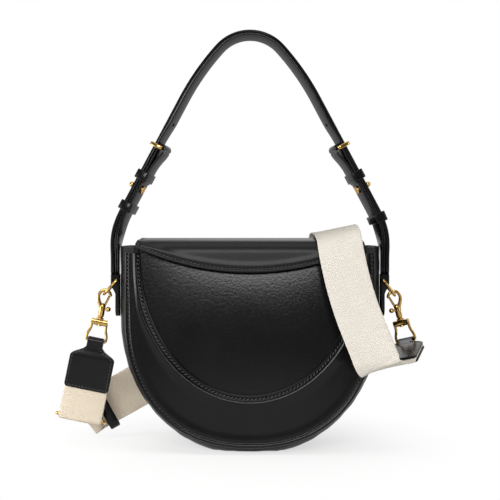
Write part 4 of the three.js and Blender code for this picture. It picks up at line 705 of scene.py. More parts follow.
strip_section = rounded(2 * FLAP_HINGE_HALF_WIDTH, STRIP, 0.8)
strip_rings = [[on_panel(a, STRIP_LOW + row, STRIP_OUT + t * thin, 1) for a, t in strip_section]
               for row, thin in STRIP_ROWS]
piece("flap_hinge_strip_leather", loft(strip_rings), leather, "bag", "black_leather", "flap_hinge_strip")
back_out = Vector((0, cos(LEAN), sin(LEAN)))
back_seams = bmesh.new()
for row in STRIP_SEAMS:
    stitches(back_seams, [(on_panel(STRIP_SEAM_HALF * (k / 10 - 1), STRIP_LOW + row, 2.2, 1), back_out)
                          for k in range(21)])
stitches(back_seams, [(on_panel(r * cos(a), BODY_TOP + r * sin(a), 0.1, 1), back_out)
                      for a in arc for r in [rim_distance(a, BODY_TOP) - RIM_SEAM]
                      if BODY_TOP + r * sin(a) < STRIP_LOW - 1])
piece("back_seams", back_seams, black_thread, "bag", "black_leather")

# Handle strap: two plies of leather glued together, with round painted edges. It runs up from a
# half-round end at each side, slants in and turns over the top; its tails pass the buckles, with
# one punched adjustment hole above each.
LEG_OUTER = 118.0
PIVOT = 152.0
LEG_RISE = 12.0
LEG_RADIUS = 80.0
SLANT = radians(28)
SHOULDER_RADIUS = 220.0
SHOULDER_SLANT = radians(42)
HANDLE_TOP = 352.6
TWIST = radians(20)
TWIST_FROM = 8.0
TWIST_TO = 36.0
TAB_FROM = 3.75
STRAP_WIDTH = 14.0
TAIL = 3.4
ARCH = 4.6
BUCKLE_AT = 113.0
STUD_AT = 74.0
HOLE_AT = BUCKLE_AT + 22
HOLE = 3.0
ARCH_FROM = BUCKLE_AT + 7.9


def leg_links():
    """Length and turn of each stretch of the right leg, from its pivot to the handle's top."""
    across = LEG_OUTER - LEG_RADIUS * (1 - cos(SLANT)) - SHOULDER_RADIUS * (cos(SLANT) - cos(SHOULDER_SLANT))
    up = HANDLE_TOP - PIVOT - LEG_RISE - LEG_RADIUS * sin(SLANT)
    up -= SHOULDER_RADIUS * (sin(SHOULDER_SLANT) - sin(SLANT))
    wide, high = cos(SHOULDER_SLANT), 1 - sin(SHOULDER_SLANT)
    scale = wide * cos(SLANT) - high * sin(SLANT)
    straight = (up * wide - across * high) / scale
    top_radius = (across * cos(SLANT) - up * sin(SLANT)) / scale
    return ((LEG_RISE, 0.0), (LEG_RADIUS * SLANT, SLANT), (straight, 0.0),
            (SHOULDER_RADIUS * (SHOULDER_SLANT - SLANT), SHOULDER_SLANT - SLANT),
            (top_radius * (pi / 2 - SHOULDER_SLANT), pi / 2 - SHOULDER_SLANT))


LEG_LINKS = leg_links()
APEX = sum(length for length, _ in LEG_LINKS)


def leg_place(along):
    """The outer face's place and slant at a length along the right leg."""
    x, z, angle = LEG_OUTER, PIVOT, 0.0
    for length, turn in LEG_LINKS:
        step = min(along, length)
        if turn:
            radius = length / turn
            turned_to = angle + step / radius
            x += radius * (cos(turned_to) - cos(angle))
            z += radius * (sin(turned_to) - sin(angle))
            angle = turned_to
        else:
            x -= step * sin(angle)
            z += step * cos(angle)
        along -= step
    return x, z, angle


def leg_twist(along):
    share = min(1.0, max(0.0, (along - TWIST_FROM) / (TWIST_TO - TWIST_FROM)))
    return TWIST * share ** 2 * (3 - 2 * share)


def on_leg(along, inward, y=0.0):
    """A point on the right leg: along the strap from its pivot, inward from its outer face."""
    x, z, angle = leg_place(along)
    twist = leg_twist(along)
    aside = inward - TAB_FROM
    deep = TAB_FROM + aside * cos(twist) + y * sin(twist)
    return Vector((x - deep * cos(angle), y * cos(twist) - aside * sin(twist), z - deep * sin(angle)))


def strap_thickness(along):
    share = min(1.0, max(0.0, (along - ARCH_FROM) / STRAP_WIDTH))
    return TAIL + share * (ARCH - TAIL)


def end_half_width(along):
    """Half the strap's width, which rounds off below the pivot."""
    half = STRAP_WIDTH / 2
    return half if along >= 0 else sqrt(max(0.002, half ** 2 - along ** 2))


def leg_ring(along, start, thickness):
    half = end_half_width(along)
    edge = min(1.0, half)
    return [on_leg(along, start + thickness / 2 + t * (0.2 + 0.8 * edge), a)
            for a, t in rounded(2 * half, thickness, 1.1)]


def leg_places(top):
    ends = [-6.99, -6.9, -6.6, -6, -5, -3.5, -1.5]
    return ends + [top * k / ceil(top / 4) for k in range(ceil(top / 4) + 1)]


def mirrored(ring):
    return [Vector((-p.x, p.y, p.z)) for p in ring]


def leg_frame(along):
    """From a frame with Z outward through the leather to the right leg."""
    _, _, angle = leg_place(along)
    twist = leg_twist(along)
    out = Vector((cos(angle) * cos(twist), sin(twist), sin(angle) * cos(twist)))
    up = Vector((-sin(angle), 0, cos(angle)))
    return Matrix.Translation(on_leg(along, 0)) @ Matrix((up.cross(out), up, out)).transposed().to_4x4()


def carve(bm, *cutters):
    """Cuts closed shells out of a mesh."""
    objects = []
    for shell in (bm, *cutters):
        mesh = bpy.data.meshes.new("blank")
        shell.to_mesh(mesh)
        shell.free()
        blank = bpy.data.objects.new("blank", mesh)
        bpy.context.collection.objects.link(blank)
        objects.append(blank)
    body = objects[0]
    for cutter in objects[1:]:
        cut = body.modifiers.new("cut", "BOOLEAN")
        cut.operation = "DIFFERENCE"
        cut.solver = "EXACT"
        cut.use_self = True
        cut.object = cutter
    bpy.context.view_layer.update()
    whole = bmesh.new()
    whole.from_object(body, bpy.context.evaluated_depsgraph_get())
    for spare in objects:
        mesh = spare.data
        bpy.data.objects.remove(spare)
        bpy.data.meshes.remove(mesh)
    return whole


def placed(bm, matrix):
    bmesh.ops.transform(bm, matrix=matrix, verts=bm.verts)
    return bm


def punch(along, side):
    """The round cutter of an adjustment hole in the right (1) or left (-1) leg."""
    bm = bmesh.new()
    bmesh.ops.create_cone(bm, cap_ends=True, segments=16, radius1=HOLE / 2, radius2=HOLE / 2, depth=6 * ARCH)
    placed(bm, Matrix.Diagonal((side, 1, 1, 1)) @ leg_frame(along))
    bmesh.ops.recalc_face_normals(bm, faces=bm.faces)
    return bm


strap_leather = black_leather("strap_leather", 1.1, 0.03)
right_half = [leg_ring(s, 0, strap_thickness(s)) for s in leg_places(APEX)]
left_half = [mirrored(ring) for ring in right_half[-2::-1]]
handle_strap = carve(loft(right_half + left_half), punch(HOLE_AT, 1), punch(HOLE_AT, -1))
piece("handle_strap_leather", handle_strap, strap_leather, "handle", "black_leather", "handle_strap")

# Handle tabs: the lower strap ends, folded round the buckles' bars, with a second ply below the
# fold. Two keepers hold tab and tail together; the upper one is sewn, the lower one slides.
TAB_PLY = 1.9
BAR_DEPTH = 7.7
LOOP_MIDDLE = 3.0
FOLD_END = 79.4
FOLD_DROPS = ((3, 0.15), (7, 0.9), (11, 2.0), (15, 2.9), (19, 3.4), (23, 3.5), (28, 3.5),
              (BUCKLE_AT - FOLD_END - 0.3, 3.5), (BUCKLE_AT - FOLD_END, 3.5))
SECOND_PLY = 1.6
SIDE_GAP = 0.35
KEEPER = {"wall": 1.6, "length": 8, "radius": 1.2}
UPPER_KEEPER_AT = 85.0
LOWER_KEEPER_AT = {"right": 44.5, "left": 55.5}


def flipped(bm):
    """The mirror image of a right piece."""
    other = bm.copy()
    bmesh.ops.scale(other, vec=(-1, 1, 1), verts=other.verts)
    bmesh.ops.reverse_faces(other, faces=other.faces)
    return other


def pair(name, bm, material, slot, body, node):
    """The right piece and its mirror image on the left."""
    other = flipped(bm)
    for side, mesh in (("right", bm), ("left", other)):
        piece(f"{name}_{side}", mesh, material, body.format(side), slot, f"{node}_{side}")


def handle_tab():
    outer = [leg_ring(s, TAB_FROM, TAB_PLY) for s in leg_places(BUCKLE_AT)]
    section = rounded(STRAP_WIDTH, TAB_PLY, 0.8)
    for k in range(1, 15):
        angle = pi * k / 14
        outer.append([on_leg(BUCKLE_AT + (LOOP_MIDDLE - t) * sin(angle),
                             BAR_DEPTH - (LOOP_MIDDLE - t) * cos(angle), a) for a, t in section])
    for before, drop in FOLD_DROPS:
        thin = 0.5 if before == FOLD_DROPS[-1][0] else 1.0
        outer.append([on_leg(BUCKLE_AT - before, BAR_DEPTH + LOOP_MIDDLE - drop + t * thin, a)
                      for a, t in section])
    lower = [leg_ring(s, TAB_FROM + TAB_PLY - 0.1, SECOND_PLY) for s in leg_places(FOLD_END)]
    return joined(loft(outer), loft(lower))


pair("handle_tab_leather", handle_tab(), strap_leather, "black_leather", "handle", "handle_tab")


def band(at, low, high, wall, length, radius, edge=0.6):
    """A flat band round the leg: a rounded section carried round a rectangle with round corners."""
    section = rounded(length, wall, edge, 3)
    low, high, half = low - wall / 2, high + wall / 2, STRAP_WIDTH / 2 + SIDE_GAP + wall / 2
    path = []
    for n, y, start in ((high, half, 0), (low, half, 1), (low, -half, 2), (high, -half, 3)):
        cn = n - radius if n == high else n + radius
        cy = y - radius if y > 0 else y + radius
        for k in range(5):
            angle = pi / 2 * (start + k / 4)
            path.append((cn, cy, angle))
    rings = []
    for cn, cy, angle in path:
        rings.append([on_leg(at + a, cn + (radius + t) * cos(angle), cy + (radius + t) * sin(angle))
                      for a, t in section])
    return loft(rings, closed=True)


pair("upper_keeper_leather", band(UPPER_KEEPER_AT, -0.35, 7.9, **KEEPER), strap_leather,
     "black_leather", "handle", "upper_keeper")
for side, at in LOWER_KEEPER_AT.items():
    lower_keeper = band(at, -0.5, 7.65, **KEEPER)
    piece("lower_keeper_leather_" + side, lower_keeper if side == "right" else flipped(lower_keeper),
          strap_leather, "lower_keeper_" + side, "black_leather", "lower_keeper_" + side)

# Buckles and ball studs: cast brass, polished and plated a soft gold. Each ball stud goes through
# strap and tab and is held inside by a slotted screw.


def gold_brass():
    material, wire, join = finish("gold_brass")
    where = wire.node("TexCoord", out="Object")
    cloud = noise(wire, where, 160.0, 3.0)
    scuffs = noise(wire, where, 900.0, 2.0)
    join(base_color=cloud.mix((0.43, 0.262, 0.075, 1), (0.56, 0.37, 0.13, 1)), metallic=1.0,
         roughness=cloud * 0.12 + scuffs * 0.06 + 0.06,
         normal=bump(wire, scuffs, 0.05, 0.0002))
    return material


brass = gold_brass()
pair("buckle_frame", band(BUCKLE_AT, -1.0, 6.6, wall=2.2, length=3.2, radius=1.4), brass, "gold_brass",
     "buckle_{}", "buckle")


def turned(profile, steps=28):
    """A turned shape about its own Z from (radius, height) pairs."""
    rings = [[Vector((max(r, 1e-5) * cos(2 * pi * k / steps), max(r, 1e-5) * sin(2 * pi * k / steps), z))
              for k in range(steps)] for r, z in profile]
    return loft(rings)


BALL = 2.4
BALL_AT = 3.52
BALL_NECK = asin(0.81)
ball_profile = [(0, -7.1), (1.7, -7.1), (1.7, 0.35), (2.6, 0.35), (2.9, 0.6), (2.9, 0.95), (2.7, 1.15),
                (1.6, 1.2), (1.4, 1.5)]
ball_profile += [(BALL * cos(a), BALL_AT + BALL * sin(a)) for a in
                 [-BALL_NECK + (pi / 2 + BALL_NECK) * k / 14 for k in range(15)]]
stud = placed(turned(ball_profile), leg_frame(STUD_AT))
pair("strap_stud_ball", stud, brass, "gold_brass", "handle", "strap_stud")
for side in ("left", "right"):
    dress(f"stud_screw_{side}", brass)

# Sewn ends of the handle on the gusset: a folded strap, thicker where it wraps the D-ring's bar,
# hollowed at the top so that the handle's round end can swing, and stitched down below.
ANCHOR_INSIDE = 110.35
ANCHOR_LOW = 111.0
ANCHOR_TOP = 146.6
ANCHOR_HALF = 7.0
ANCHOR_ROUND = ANCHOR_LOW + ANCHOR_HALF
ANCHOR_OUTER = 114.15
SLOPE_FROM = 129.5
SLOPE = 9.5
ANCHOR_SEAM_HALF = 5.0
ANCHOR_SEAM_TOP = 128.5
SWING_CLEAR = 7.35


def anchor_outer(z):
    """How far out the folded strap stands at a height."""
    share = min(1.0, max(0.0, (z - SLOPE_FROM) / SLOPE))
    return ANCHOR_OUTER + (LEG_OUTER - ANCHOR_OUTER) * (3 * share ** 2 - 2 * share ** 3)


def anchor():
    heights = [ANCHOR_LOW + d for d in (0.01, 0.1, 0.4, 1, 2, 3.5, 5.5)]
    heights += [ANCHOR_ROUND + (ANCHOR_TOP - ANCHOR_ROUND) * k / 22 for k in range(23)]
    rings = []
    for z in heights:
        below = max(0.0, ANCHOR_ROUND - z)
        half = sqrt(max(0.002, ANCHOR_HALF ** 2 - below ** 2))
        thick = anchor_outer(z) - ANCHOR_INSIDE
        ring = []
        for a, t in rounded(2 * half, thick, 1.0):
            hollow = PIVOT - sqrt(max(0.0, SWING_CLEAR ** 2 - a ** 2)) if abs(a) < SWING_CLEAR else z
            ring.append(Vector((ANCHOR_INSIDE + thick / 2 + t, a, min(z, hollow))))
        rings.append(ring)
    return loft(rings)


pair("handle_anchor_leather", anchor(), strap_leather, "black_leather", "bag", "handle_anchor")
for side in (-1, 1):
    seam = bmesh.new()
    stitch_arc = [(-ANCHOR_SEAM_HALF * cos(pi * k / 8), ANCHOR_ROUND - ANCHOR_SEAM_HALF * sin(pi * k / 8))
                  for k in range(9)]
    outline = [(-ANCHOR_SEAM_HALF, ANCHOR_SEAM_TOP)] + stitch_arc + [(ANCHOR_SEAM_HALF, ANCHOR_SEAM_TOP)]
    stitches(seam, [(Vector((side * (anchor_outer(z) - 0.05), y, z)), Vector((side, 0, 0)))
                    for y, z in outline], pitch=2.8, length=2.1, size=0.55)
    piece("anchor_seam_" + ("left" if side < 0 else "right"), seam, black_thread, "bag", "black_leather")

# D-rings: bent and soldered brass wire, the straight bar in the sewn end's tunnel. Each hangs
# outward and down, the left one by 47 degrees and the right one by 52.
RING_OUT = 112.35
RING_HEIGHT = 142.3
D_WIRE = 1.3
RING_DROP = {"left": radians(180 - 47), "right": radians(52)}


def round_wire(points, normal, radius, closed=True, sides=12):
    """A round wire along points in one plane."""
    turns = [2 * pi * k / sides for k in range(sides)]
    rings = []
    last = len(points) - 1
    for i, p in enumerate(points):
        a = points[i - 1] if closed or i else p
        b = points[(i + 1) % len(points)] if closed or i < last else p
        way = (b - a).normalized()
        across = normal.cross(way).normalized()
        rings.append([p + across * (radius * cos(turn)) + normal * (radius * sin(turn)) for turn in turns])
    return loft(rings, closed=closed)


def arc_points(cx, cy, radius, start, end, steps):
    return [(cx + radius * cos(start + (end - start) * k / steps),
             cy + radius * sin(start + (end - start) * k / steps)) for k in range(steps + 1)]


def d_ring():
    line = arc_points(2, -7.5, 2, pi, 1.5 * pi, 6) + arc_points(8, 0, 9.5, -pi / 2, pi / 2, 28)
    line += arc_points(2, 7.5, 2, pi / 2, pi, 6)
    return round_wire([Vector((x, y, 0)) for x, y in line], Vector((0, 0, 1)), D_WIRE)


for side, sign in (("left", -1), ("right", 1)):
    move = Matrix.Translation((sign * RING_OUT, 0, RING_HEIGHT)) @ Matrix.Rotation(RING_DROP[side], 4, "Y")
    piece(f"d_ring_wire_{side}", d_ring(), brass, f"d_ring_{side}", "gold_brass", f"d_ring_{side}", move=move)

# Trigger clasps: a cast brass claw on a turned barrel with a swivelling wire loop below, and a
# sprung trigger with a ball knob, pinned in the barrel's slot, that closes the claw.
EYE = (3.8, 4.6)
CLAW_BAND = 2.6
CLAW_THICKNESS = 4.2
CLAW_TIP = radians(10)
CLAW_HEEL = (-1.1, -12.0)
TRIGGER_PIVOT = (0.4, -10.9)
GATE_TOP = (4.0, 1.5)
CLASP_LENGTH = 38.5
PIVOT_FRAME = Matrix.Translation((TRIGGER_PIVOT[0], 0, TRIGGER_PIVOT[1])) @ Matrix.Rotation(pi / 2, 4, "X")
CLASPS = {
    "left": ((-123.80, 0, 127.36), 11.5, 0.0, 0.0, 1),
    "right": ((122.80, 0, 126.34), -15.8, -25.0, -78.0, -1),
}


def claw():
    """The claw: a rounded bar from its tip over the eye and down its back into the barrel."""
    line = []
    for k in range(37):
        angle = CLAW_TIP + (pi - CLAW_TIP) * k / 36
        wide, high = EYE[0] + CLAW_BAND / 2, EYE[1] + CLAW_BAND / 2
        line.append((Vector((wide * cos(angle), 0, high * sin(angle))), CLAW_BAND))
    back = line[-1][0].x
    for k in range(1, 15):
        share = k / 14
        x = CLAW_HEEL[0] + (back - CLAW_HEEL[0]) * (1 + cos(pi * share)) / 2
        line.append((Vector((x, 0, CLAW_HEEL[1] * share)), CLAW_BAND + 0.9 * share))
    rings = []
    for i, (spot, wide) in enumerate(line):
        way = (line[min(i + 1, len(line) - 1)][0] - line[max(i - 1, 0)][0]).normalized()
        out = Vector((way.z, 0, -way.x))
        small = max(0.4, sqrt(1 - (1 - i / 2) ** 2)) if i < 2 else 1.0
        rings.append([spot + out * (t * small) + Vector((0, a * small, 0))
                      for a, t in rounded(CLAW_THICKNESS, wide, 1.15)])
    return loft(rings)


def box(x0, x1, y0, y1, z0, z1):
    bm = bmesh.new()
    bmesh.ops.create_cube(bm, size=1)
    bmesh.ops.scale(bm, vec=(x1 - x0, y1 - y0, z1 - z0), verts=bm.verts)
    bmesh.ops.translate(bm, vec=((x0 + x1) / 2, (y0 + y1) / 2, (z0 + z1) / 2), verts=bm.verts)
    return bm


def clasp_hook():
    shank = turned([(0, -5.6), (1.2, -5.8), (2.0, -6.4), (2.5, -7.2), (2.7, -8.2), (2.7, -16.6), (2.5, -17.0),
                    (2.1, -17.3), (2.0, -17.6), (2.3, -17.85), (2.9, -18.1), (3.2, -18.45), (3.2, -18.9),
                    (3.0, -19.2), (1.4, -19.25), (1.4, -24.3), (2.2, -24.35), (2.3, -24.7), (1.9, -25.3),
                    (0, -25.4)])
    return carve(joined(claw(), shank), box(-1.95, 9, -1.2, 1.2, -14.1, -2.3))


def flat_bar(start, end, width, thickness, radius=0.5):
    """A rounded bar between two points of the clasp's plane."""
    a, b = Vector((start[0], 0, start[1])), Vector((end[0], 0, end[1]))
    way = (b - a).normalized()
    side = Vector((-way.z, 0, way.x))
    return loft([[p + side * u + Vector((0, t, 0)) for u, t in rounded(width, thickness, radius, 3)]
                 for p in (a, a.lerp(b, 0.5), b)])


def clasp_trigger():
    gate = flat_bar(TRIGGER_PIVOT, GATE_TOP, 2.0, 1.7)
    hub = placed(turned([(0, -0.84), (1.8, -0.84), (2, -0.6), (2, 0.6), (1.8, 0.84), (0, 0.84)]),
                 PIVOT_FRAME)
    knob_at = (TRIGGER_PIVOT[0] + 4.7, TRIGGER_PIVOT[1] + 1)
    arm = flat_bar(TRIGGER_PIVOT, knob_at, 1.6, 1.5)
    knob = bmesh.new()
    bmesh.ops.create_uvsphere(knob, u_segments=24, v_segments=14, radius=2.2,
                              matrix=Matrix.Translation((knob_at[0], 0, knob_at[1])))
    return joined(gate, hub, arm, knob)


def clasp_pin():
    return placed(turned([(0, -2.72), (0.6, -2.72), (0.8, -2.5), (0.8, 2.5), (0.6, 2.72), (0, 2.72)], 16),
                  PIVOT_FRAME)


def clasp_loop():
    bore = turned([(0, -26.5), (2.5, -26.5), (2.5, -24.1), (1.75, -24.1), (1.75, -18.5), (0, -18.5)])
    yoke = carve(flat_bar((-6.7, -22.2), (6.7, -22.2), 5.2, 4.8, 1.6), bore)
    half = [(5.0, -21.6), (5.7, -22.2), (6.15, -23.2), (6.2, -24.6), (6.3, -27.4), (7.0, -30.0), (7.9, -32.2),
            (8.4, -34.4)]
    half += arc_points(6.4, -36.5, 2, 0, -pi / 2, 6)
    line = half + [(-x, z) for x, z in half[::-1]]
    wire = round_wire([Vector((x, 0, z)) for x, z in line], Vector((0, 1, 0)), 1.2, closed=False)
    return joined(yoke, wire)


tab_frames = {}
for side, (place, lean, yaw, pitch, hand) in CLASPS.items():
    hang = Matrix.Translation(place) @ Matrix.Rotation(radians(lean), 4, "Y")
    handed = hang @ Matrix.Diagonal((hand, 1, 1, 1))
    for name, bm, body, node in (("hook_claw", clasp_hook(), "hook_", "hook_"),
                                 ("trigger_lever", clasp_trigger(), "trigger_", "trigger_"),
                                 ("trigger_rivet", clasp_pin(), "hook_", "trigger_pin_")):
        if hand < 0:
            bmesh.ops.reverse_faces(bm, faces=bm.faces)
        piece(name + "_" + side, bm, brass, body + side, "gold_brass", node + side, move=handed)
    loop_frame = hang @ Matrix.Rotation(radians(yaw), 4, "Z")
    piece("clasp_wire_loop_" + side, clasp_loop(), brass, "clasp_loop_" + side, "gold_brass",
          "clasp_loop_" + side, move=loop_frame)
    loop_bar = Matrix.Translation((0, 0, -CLASP_LENGTH))
    tab_frames[side] = loop_frame @ loop_bar @ Matrix.Rotation(radians(pitch), 4, "X")

# Leather end tabs: a bottle-shaped blank folded round the clasp's loop, glued at the neck, with
# the webbing's end between its two faces and a stitched edge all round.
TAB_LENGTH = 42.0
TAB_HALF_WIDTH = 19.0
NECK_HALF_WIDTH = 6.8
NECK_LENGTH = 5.0
SHOULDER = 10.0
TAB_CORNER = 3.0
PLY = 1.6
PLY_AT = 1.95
EYE_MIDDLE = 2.5
GLUED = 11.0


def tab_half_width(down):
    """Half the blank's width at a distance below the loop's bar."""
    share = min(1.0, max(0.0, (down - NECK_LENGTH) / SHOULDER))
    half = NECK_HALF_WIDTH + (1 - cos(pi * share)) / 2 * (TAB_HALF_WIDTH - NECK_HALF_WIDTH)
    corner = max(0.0, down - TAB_LENGTH + TAB_CORNER)
    return half - TAB_CORNER + sqrt(max(0.0, TAB_CORNER ** 2 - corner ** 2))


def tab_blank():
    down = [TAB_LENGTH - d for d in (0, 0.15, 0.4, 0.8, 1.4, 2.2, 3, 4.5)]
    down += [37 - 29 * k / 22 for k in range(23)]
    leg = [(-PLY_AT, -d) for d in down]
    touch = pi + asin(0.35)
    eye = [(EYE_MIDDLE * cos(angle), EYE_MIDDLE * sin(angle))
           for angle in [touch - (2 * touch - pi) * k / 18 for k in range(19)]]
    (from_y, from_z), (to_y, to_z) = (-PLY_AT, -8.0), eye[0]
    leg += [(from_y + (to_y - from_y) * k, from_z + (to_z - from_z) * k) for k in (0.35, 0.7)]
    curve = leg + eye + [(-y, z) for y, z in leg[::-1]]
    rings = []
    for i, (y, z) in enumerate(curve):
        a, b = curve[max(i - 1, 0)], curve[min(i + 1, len(curve) - 1)]
        way = Vector((b[0] - a[0], b[1] - a[1])).normalized()
        half = tab_half_width(max(0.0, -z))
        thin = 0.35 + 0.65 * min(1.0, max(0.0, TAB_LENGTH + z) / 0.7) ** 0.5
        rings.append([Vector((u, y + way.y * t * thin, z - way.x * t * thin))
                      for u, t in rounded(2 * half, PLY, 0.6)])
    core = []
    for k in range(11):
        d = 3 + (GLUED - 3) * k / 10
        section = rounded(2 * tab_half_width(d) - 0.6, 2 * PLY_AT - PLY + 0.1, 0.3, 2)
        core.append([Vector((u, t, -d)) for u, t in section])
    return joined(loft(rings), loft(core))


def tab_seam(inset=2.0):
    """The seam's line round a tab's face, as (across, down) pairs."""
    left = []
    for k in range(41):
        d = 6.5 + (TAB_LENGTH - inset - 6.5) * k / 40
        half = tab_half_width(d) if d < TAB_LENGTH - TAB_CORNER else TAB_HALF_WIDTH
        left.append((-half + inset + 0.9 * max(0.0, 1 - abs(d - 10) / 4), d))
    return left + [(-x, d) for x, d in left[::-1]]


tab_leather = black_leather("tab_leather", 1.0, -0.04)
for side, to_world in tab_frames.items():
    piece("end_tab_leather_" + side, tab_blank(), tab_leather, "bag", "black_leather", "end_tab_" + side,
          move=to_world)
    seam = bmesh.new()
    for face in (-1, 1):
        stitches(seam, [(Vector((x, face * (PLY_AT + PLY / 2 + 0.02), -d)), Vector((0, face, 0)))
                        for x, d in tab_seam()], pitch=2.9, length=2.2, size=0.55)
    piece("end_tab_seam_" + side, seam, black_thread, "bag", "black_leather", move=to_world)

# Shoulder strap: woven cream cotton webbing. The long piece runs from the right tab over the front
# and the flap, down behind the body to the ring, and doubles back to the slider.
WEBBING_WIDTH = 37.0
WEBBING = 1.6
LAYER = 2.4
RING_WIRE = 1.5
SLIDER_WIRE = 1.4
LIFT = WEBBING / 2 + 0.35
WARP = 1.9
WEFT = 1.7
FRONT_ROUTE = (
    ((108.2, -51.5, 75), (0.9, -0.3, 0.32)), ((104.6, -55.5, 76.2), (0.92, -0.22, 0.33)),
    ((101.6, -56.5, 81.5), (0.94, -0.12, 0.33)), ((98.4, -54.5, 90), (0.95, -0.05, 0.32)),
    ((93.3, -50.5, 103), (0.95, 0, 0.31)), ((86.6, -45.5, 121), (0.95, 0, 0.3)),
    ((80, -40.5, 144), (0.955, 0, 0.29)), ((75.4, -36, 166), (0.96, 0, 0.27)),
    ((73.6, -29.5, 179), (0.965, 0, 0.25)), ((72.6, -18, 183.4), (0.97, 0, 0.24)),
    ((72.2, 0, 184.2), (0.97, 0, 0.22)), ((71.8, 16, 183.5), (0.975, 0, 0.18)),
    ((70.6, 27.5, 178), (0.98, 0, 0)), ((68.4, 33, 167.5), (0.95, 0, -0.25)),
)
REAR_ROUTE = (
    ((64.5, 35, 157.5), (0.9, 0, -0.42)), ((50, 37.5, 140), (0.82, 0, -0.57)),
    ((25, 41, 117), (0.7, 0, -0.71)), ((-5, 44, 96), (0.62, 0, -0.78)),
    ((-40, 46, 76), (0.52, 0, -0.85)), ((-75, 47, 57.5), (0.47, 0, -0.88)),
    ((-98, 46.5, 45), (0.47, 0, -0.88)), ((-116, 45.5, 35), (0.47, 0, -0.88)),
    ((-130, 44.5, 27.5), (0.47, 0, -0.88)), ((-140, 42, 22), (0.48, 0, -0.87)),
    ((-145, 37, 19), (0.53, 0, -0.85)), ((-146.2, 31, 18.2), (0.68, 0, -0.73)),
    ((-146.2, 25, 18), (0.86, 0, -0.51)),
)


def cotton_webbing():
    material, wire, join = finish("cream_webbing")
    cloth = wire.node("UVMap", {"uv_map": "cloth"})
    across = wire.node("SeparateXYZ", (), {0: cloth}, "X")
    along = wire.node("SeparateXYZ", (), {0: cloth}, "Y")
    warp = wire.maths("SINE", across * (2 * pi / WARP))
    weft = wire.maths("SINE", along * (2 * pi / WEFT))
    knots = warp * weft
    where = wire.node("TexCoord", out="Object")
    fuzz = noise(wire, where, 900.0, 3.0)
    worn = noise(wire, where, 35.0, 2.0)
    edge = wire.node("MapRange", (), {0: wire.maths("ABSOLUTE", across), 1: 17.2, 2: 18.5})
    height = knots * 0.3 + weft * 0.16 + fuzz * 0.22
    # The colour follows the weave's height, so its hollows come out darker: painted shade between the
    # threads, with random fuzz in the tone. It is also a little darker along both edges.
    thread = knots * 0.3 + weft * 0.12 + fuzz * 0.45 + 0.42
    # Left of the body the webbing is multiplied by a warm tint: painted warm bounce light on the shaded
    # webbing low behind the bag.
    low = wire.node("SeparateXYZ", (), {0: where}, "X")
    painted_warm_bounce = wire.node("MapRange", (), {0: low, 1: -0.05, 2: -0.1})
    pale = worn.mix((0.60, 0.565, 0.51, 1), (0.66, 0.62, 0.56, 1))
    tone = (thread - edge * 0.15).mix((0.43, 0.395, 0.335, 1), pale)
    warm = wire.node("Mix", {"data_type": "RGBA", "blend_type": "MULTIPLY"},
                     {0: painted_warm_bounce, 6: tone, 7: (1.0, 0.93, 0.83, 1)}, 2)
    join(base_color=warm, roughness=0.92,
         specular_ior_level=0.2, normal=bump(wire, height, 0.5, 0.0006))
    return material


def at_frame(point, along, width):
    """Point, direction, width and normal of the webbing at one place."""
    way = along.normalized()
    across = (width - way * width.dot(way)).normalized()
    return point, way, across, way.cross(across)


def through(points, share):
    """Place and direction on a smooth line through points, at a share of its spans."""
    spans = len(points) - 1
    i = min(int(share * spans), spans - 1)
    w = share * spans - i
    p1, p2 = points[i], points[i + 1]
    p0 = points[i - 1] if i else p1 * 2 - p2
    p3 = points[i + 2] if i + 2 <= spans else p2 * 2 - p1
    d1 = (p2 - p1).length ** 0.5 or 1.0
    d0 = (p1 - p0).length ** 0.5 or d1
    d2 = (p3 - p2).length ** 0.5 or d1
    m1 = ((p1 - p0) / d0 - (p2 - p0) / (d0 + d1) + (p2 - p1) / d1) * d1
    m2 = ((p2 - p1) / d1 - (p3 - p1) / (d1 + d2) + (p3 - p2) / d2) * d1
    c2 = (p2 - p1) * 3 - m1 * 2 - m2
    c3 = (p1 - p2) * 2 + m1 + m2
    return p1 + m1 * w + c2 * w ** 2 + c3 * w ** 3, m1 + c2 * (2 * w) + c3 * (3 * w ** 2)


def route_frames(route, steps):
    points = [Vector(p) for p, _ in route]
    widths = [Vector(w) for _, w in route]
    return [at_frame(*through(points, k / steps), through(widths, k / steps)[0]) for k in range(steps + 1)]


def turn_frames(last, radius, steps=14):
    """Half a turn round a bar that lies on the webbing's normal side."""
    point, way, across, normal = last
    centre = point + normal * radius
    made = []
    for k in range(1, steps + 1):
        spin = Matrix.Rotation(-pi * k / steps, 3, across)
        made.append(at_frame(centre + spin @ (normal * -radius), spin @ way, across))
    return made


def ribbon(frames):
    """The webbing's mesh and length; its own UV runs in millimetres, across and along."""
    section = rounded(WEBBING_WIDTH, WEBBING, 0.7, 3)
    top = [k / 10 * 35 - 17.5 for k in range(1, 10)]
    upper, lower = [(-a, WEBBING / 2) for a in top], [(a, -WEBBING / 2) for a in top]
    section = section[:4] + upper + section[4:12] + lower + section[12:]
    runs = [0.0]
    for a, b in zip(frames, frames[1:]):
        runs.append(runs[-1] + (b[0] - a[0]).length)
    rings = [[p + across * a + normal * t for a, t in section] for p, _, across, normal in frames]
    return loft(rings, uv=lambda i, j: (section[i % len(section)][0], runs[j])), runs[-1]


webbing = cotton_webbing()


def strap_piece(name, frames, node):
    bm, length = ribbon(frames)
    made = piece(name, bm, webbing, None, "cream_webbing", node, sharp=70)
    return made


def tab_point(side, down, forward=0.0):
    return tab_frames[side] @ Vector((0, forward, -down))


def tab_way(side, way):
    return tab_frames[side].to_3x3() @ Vector(way)


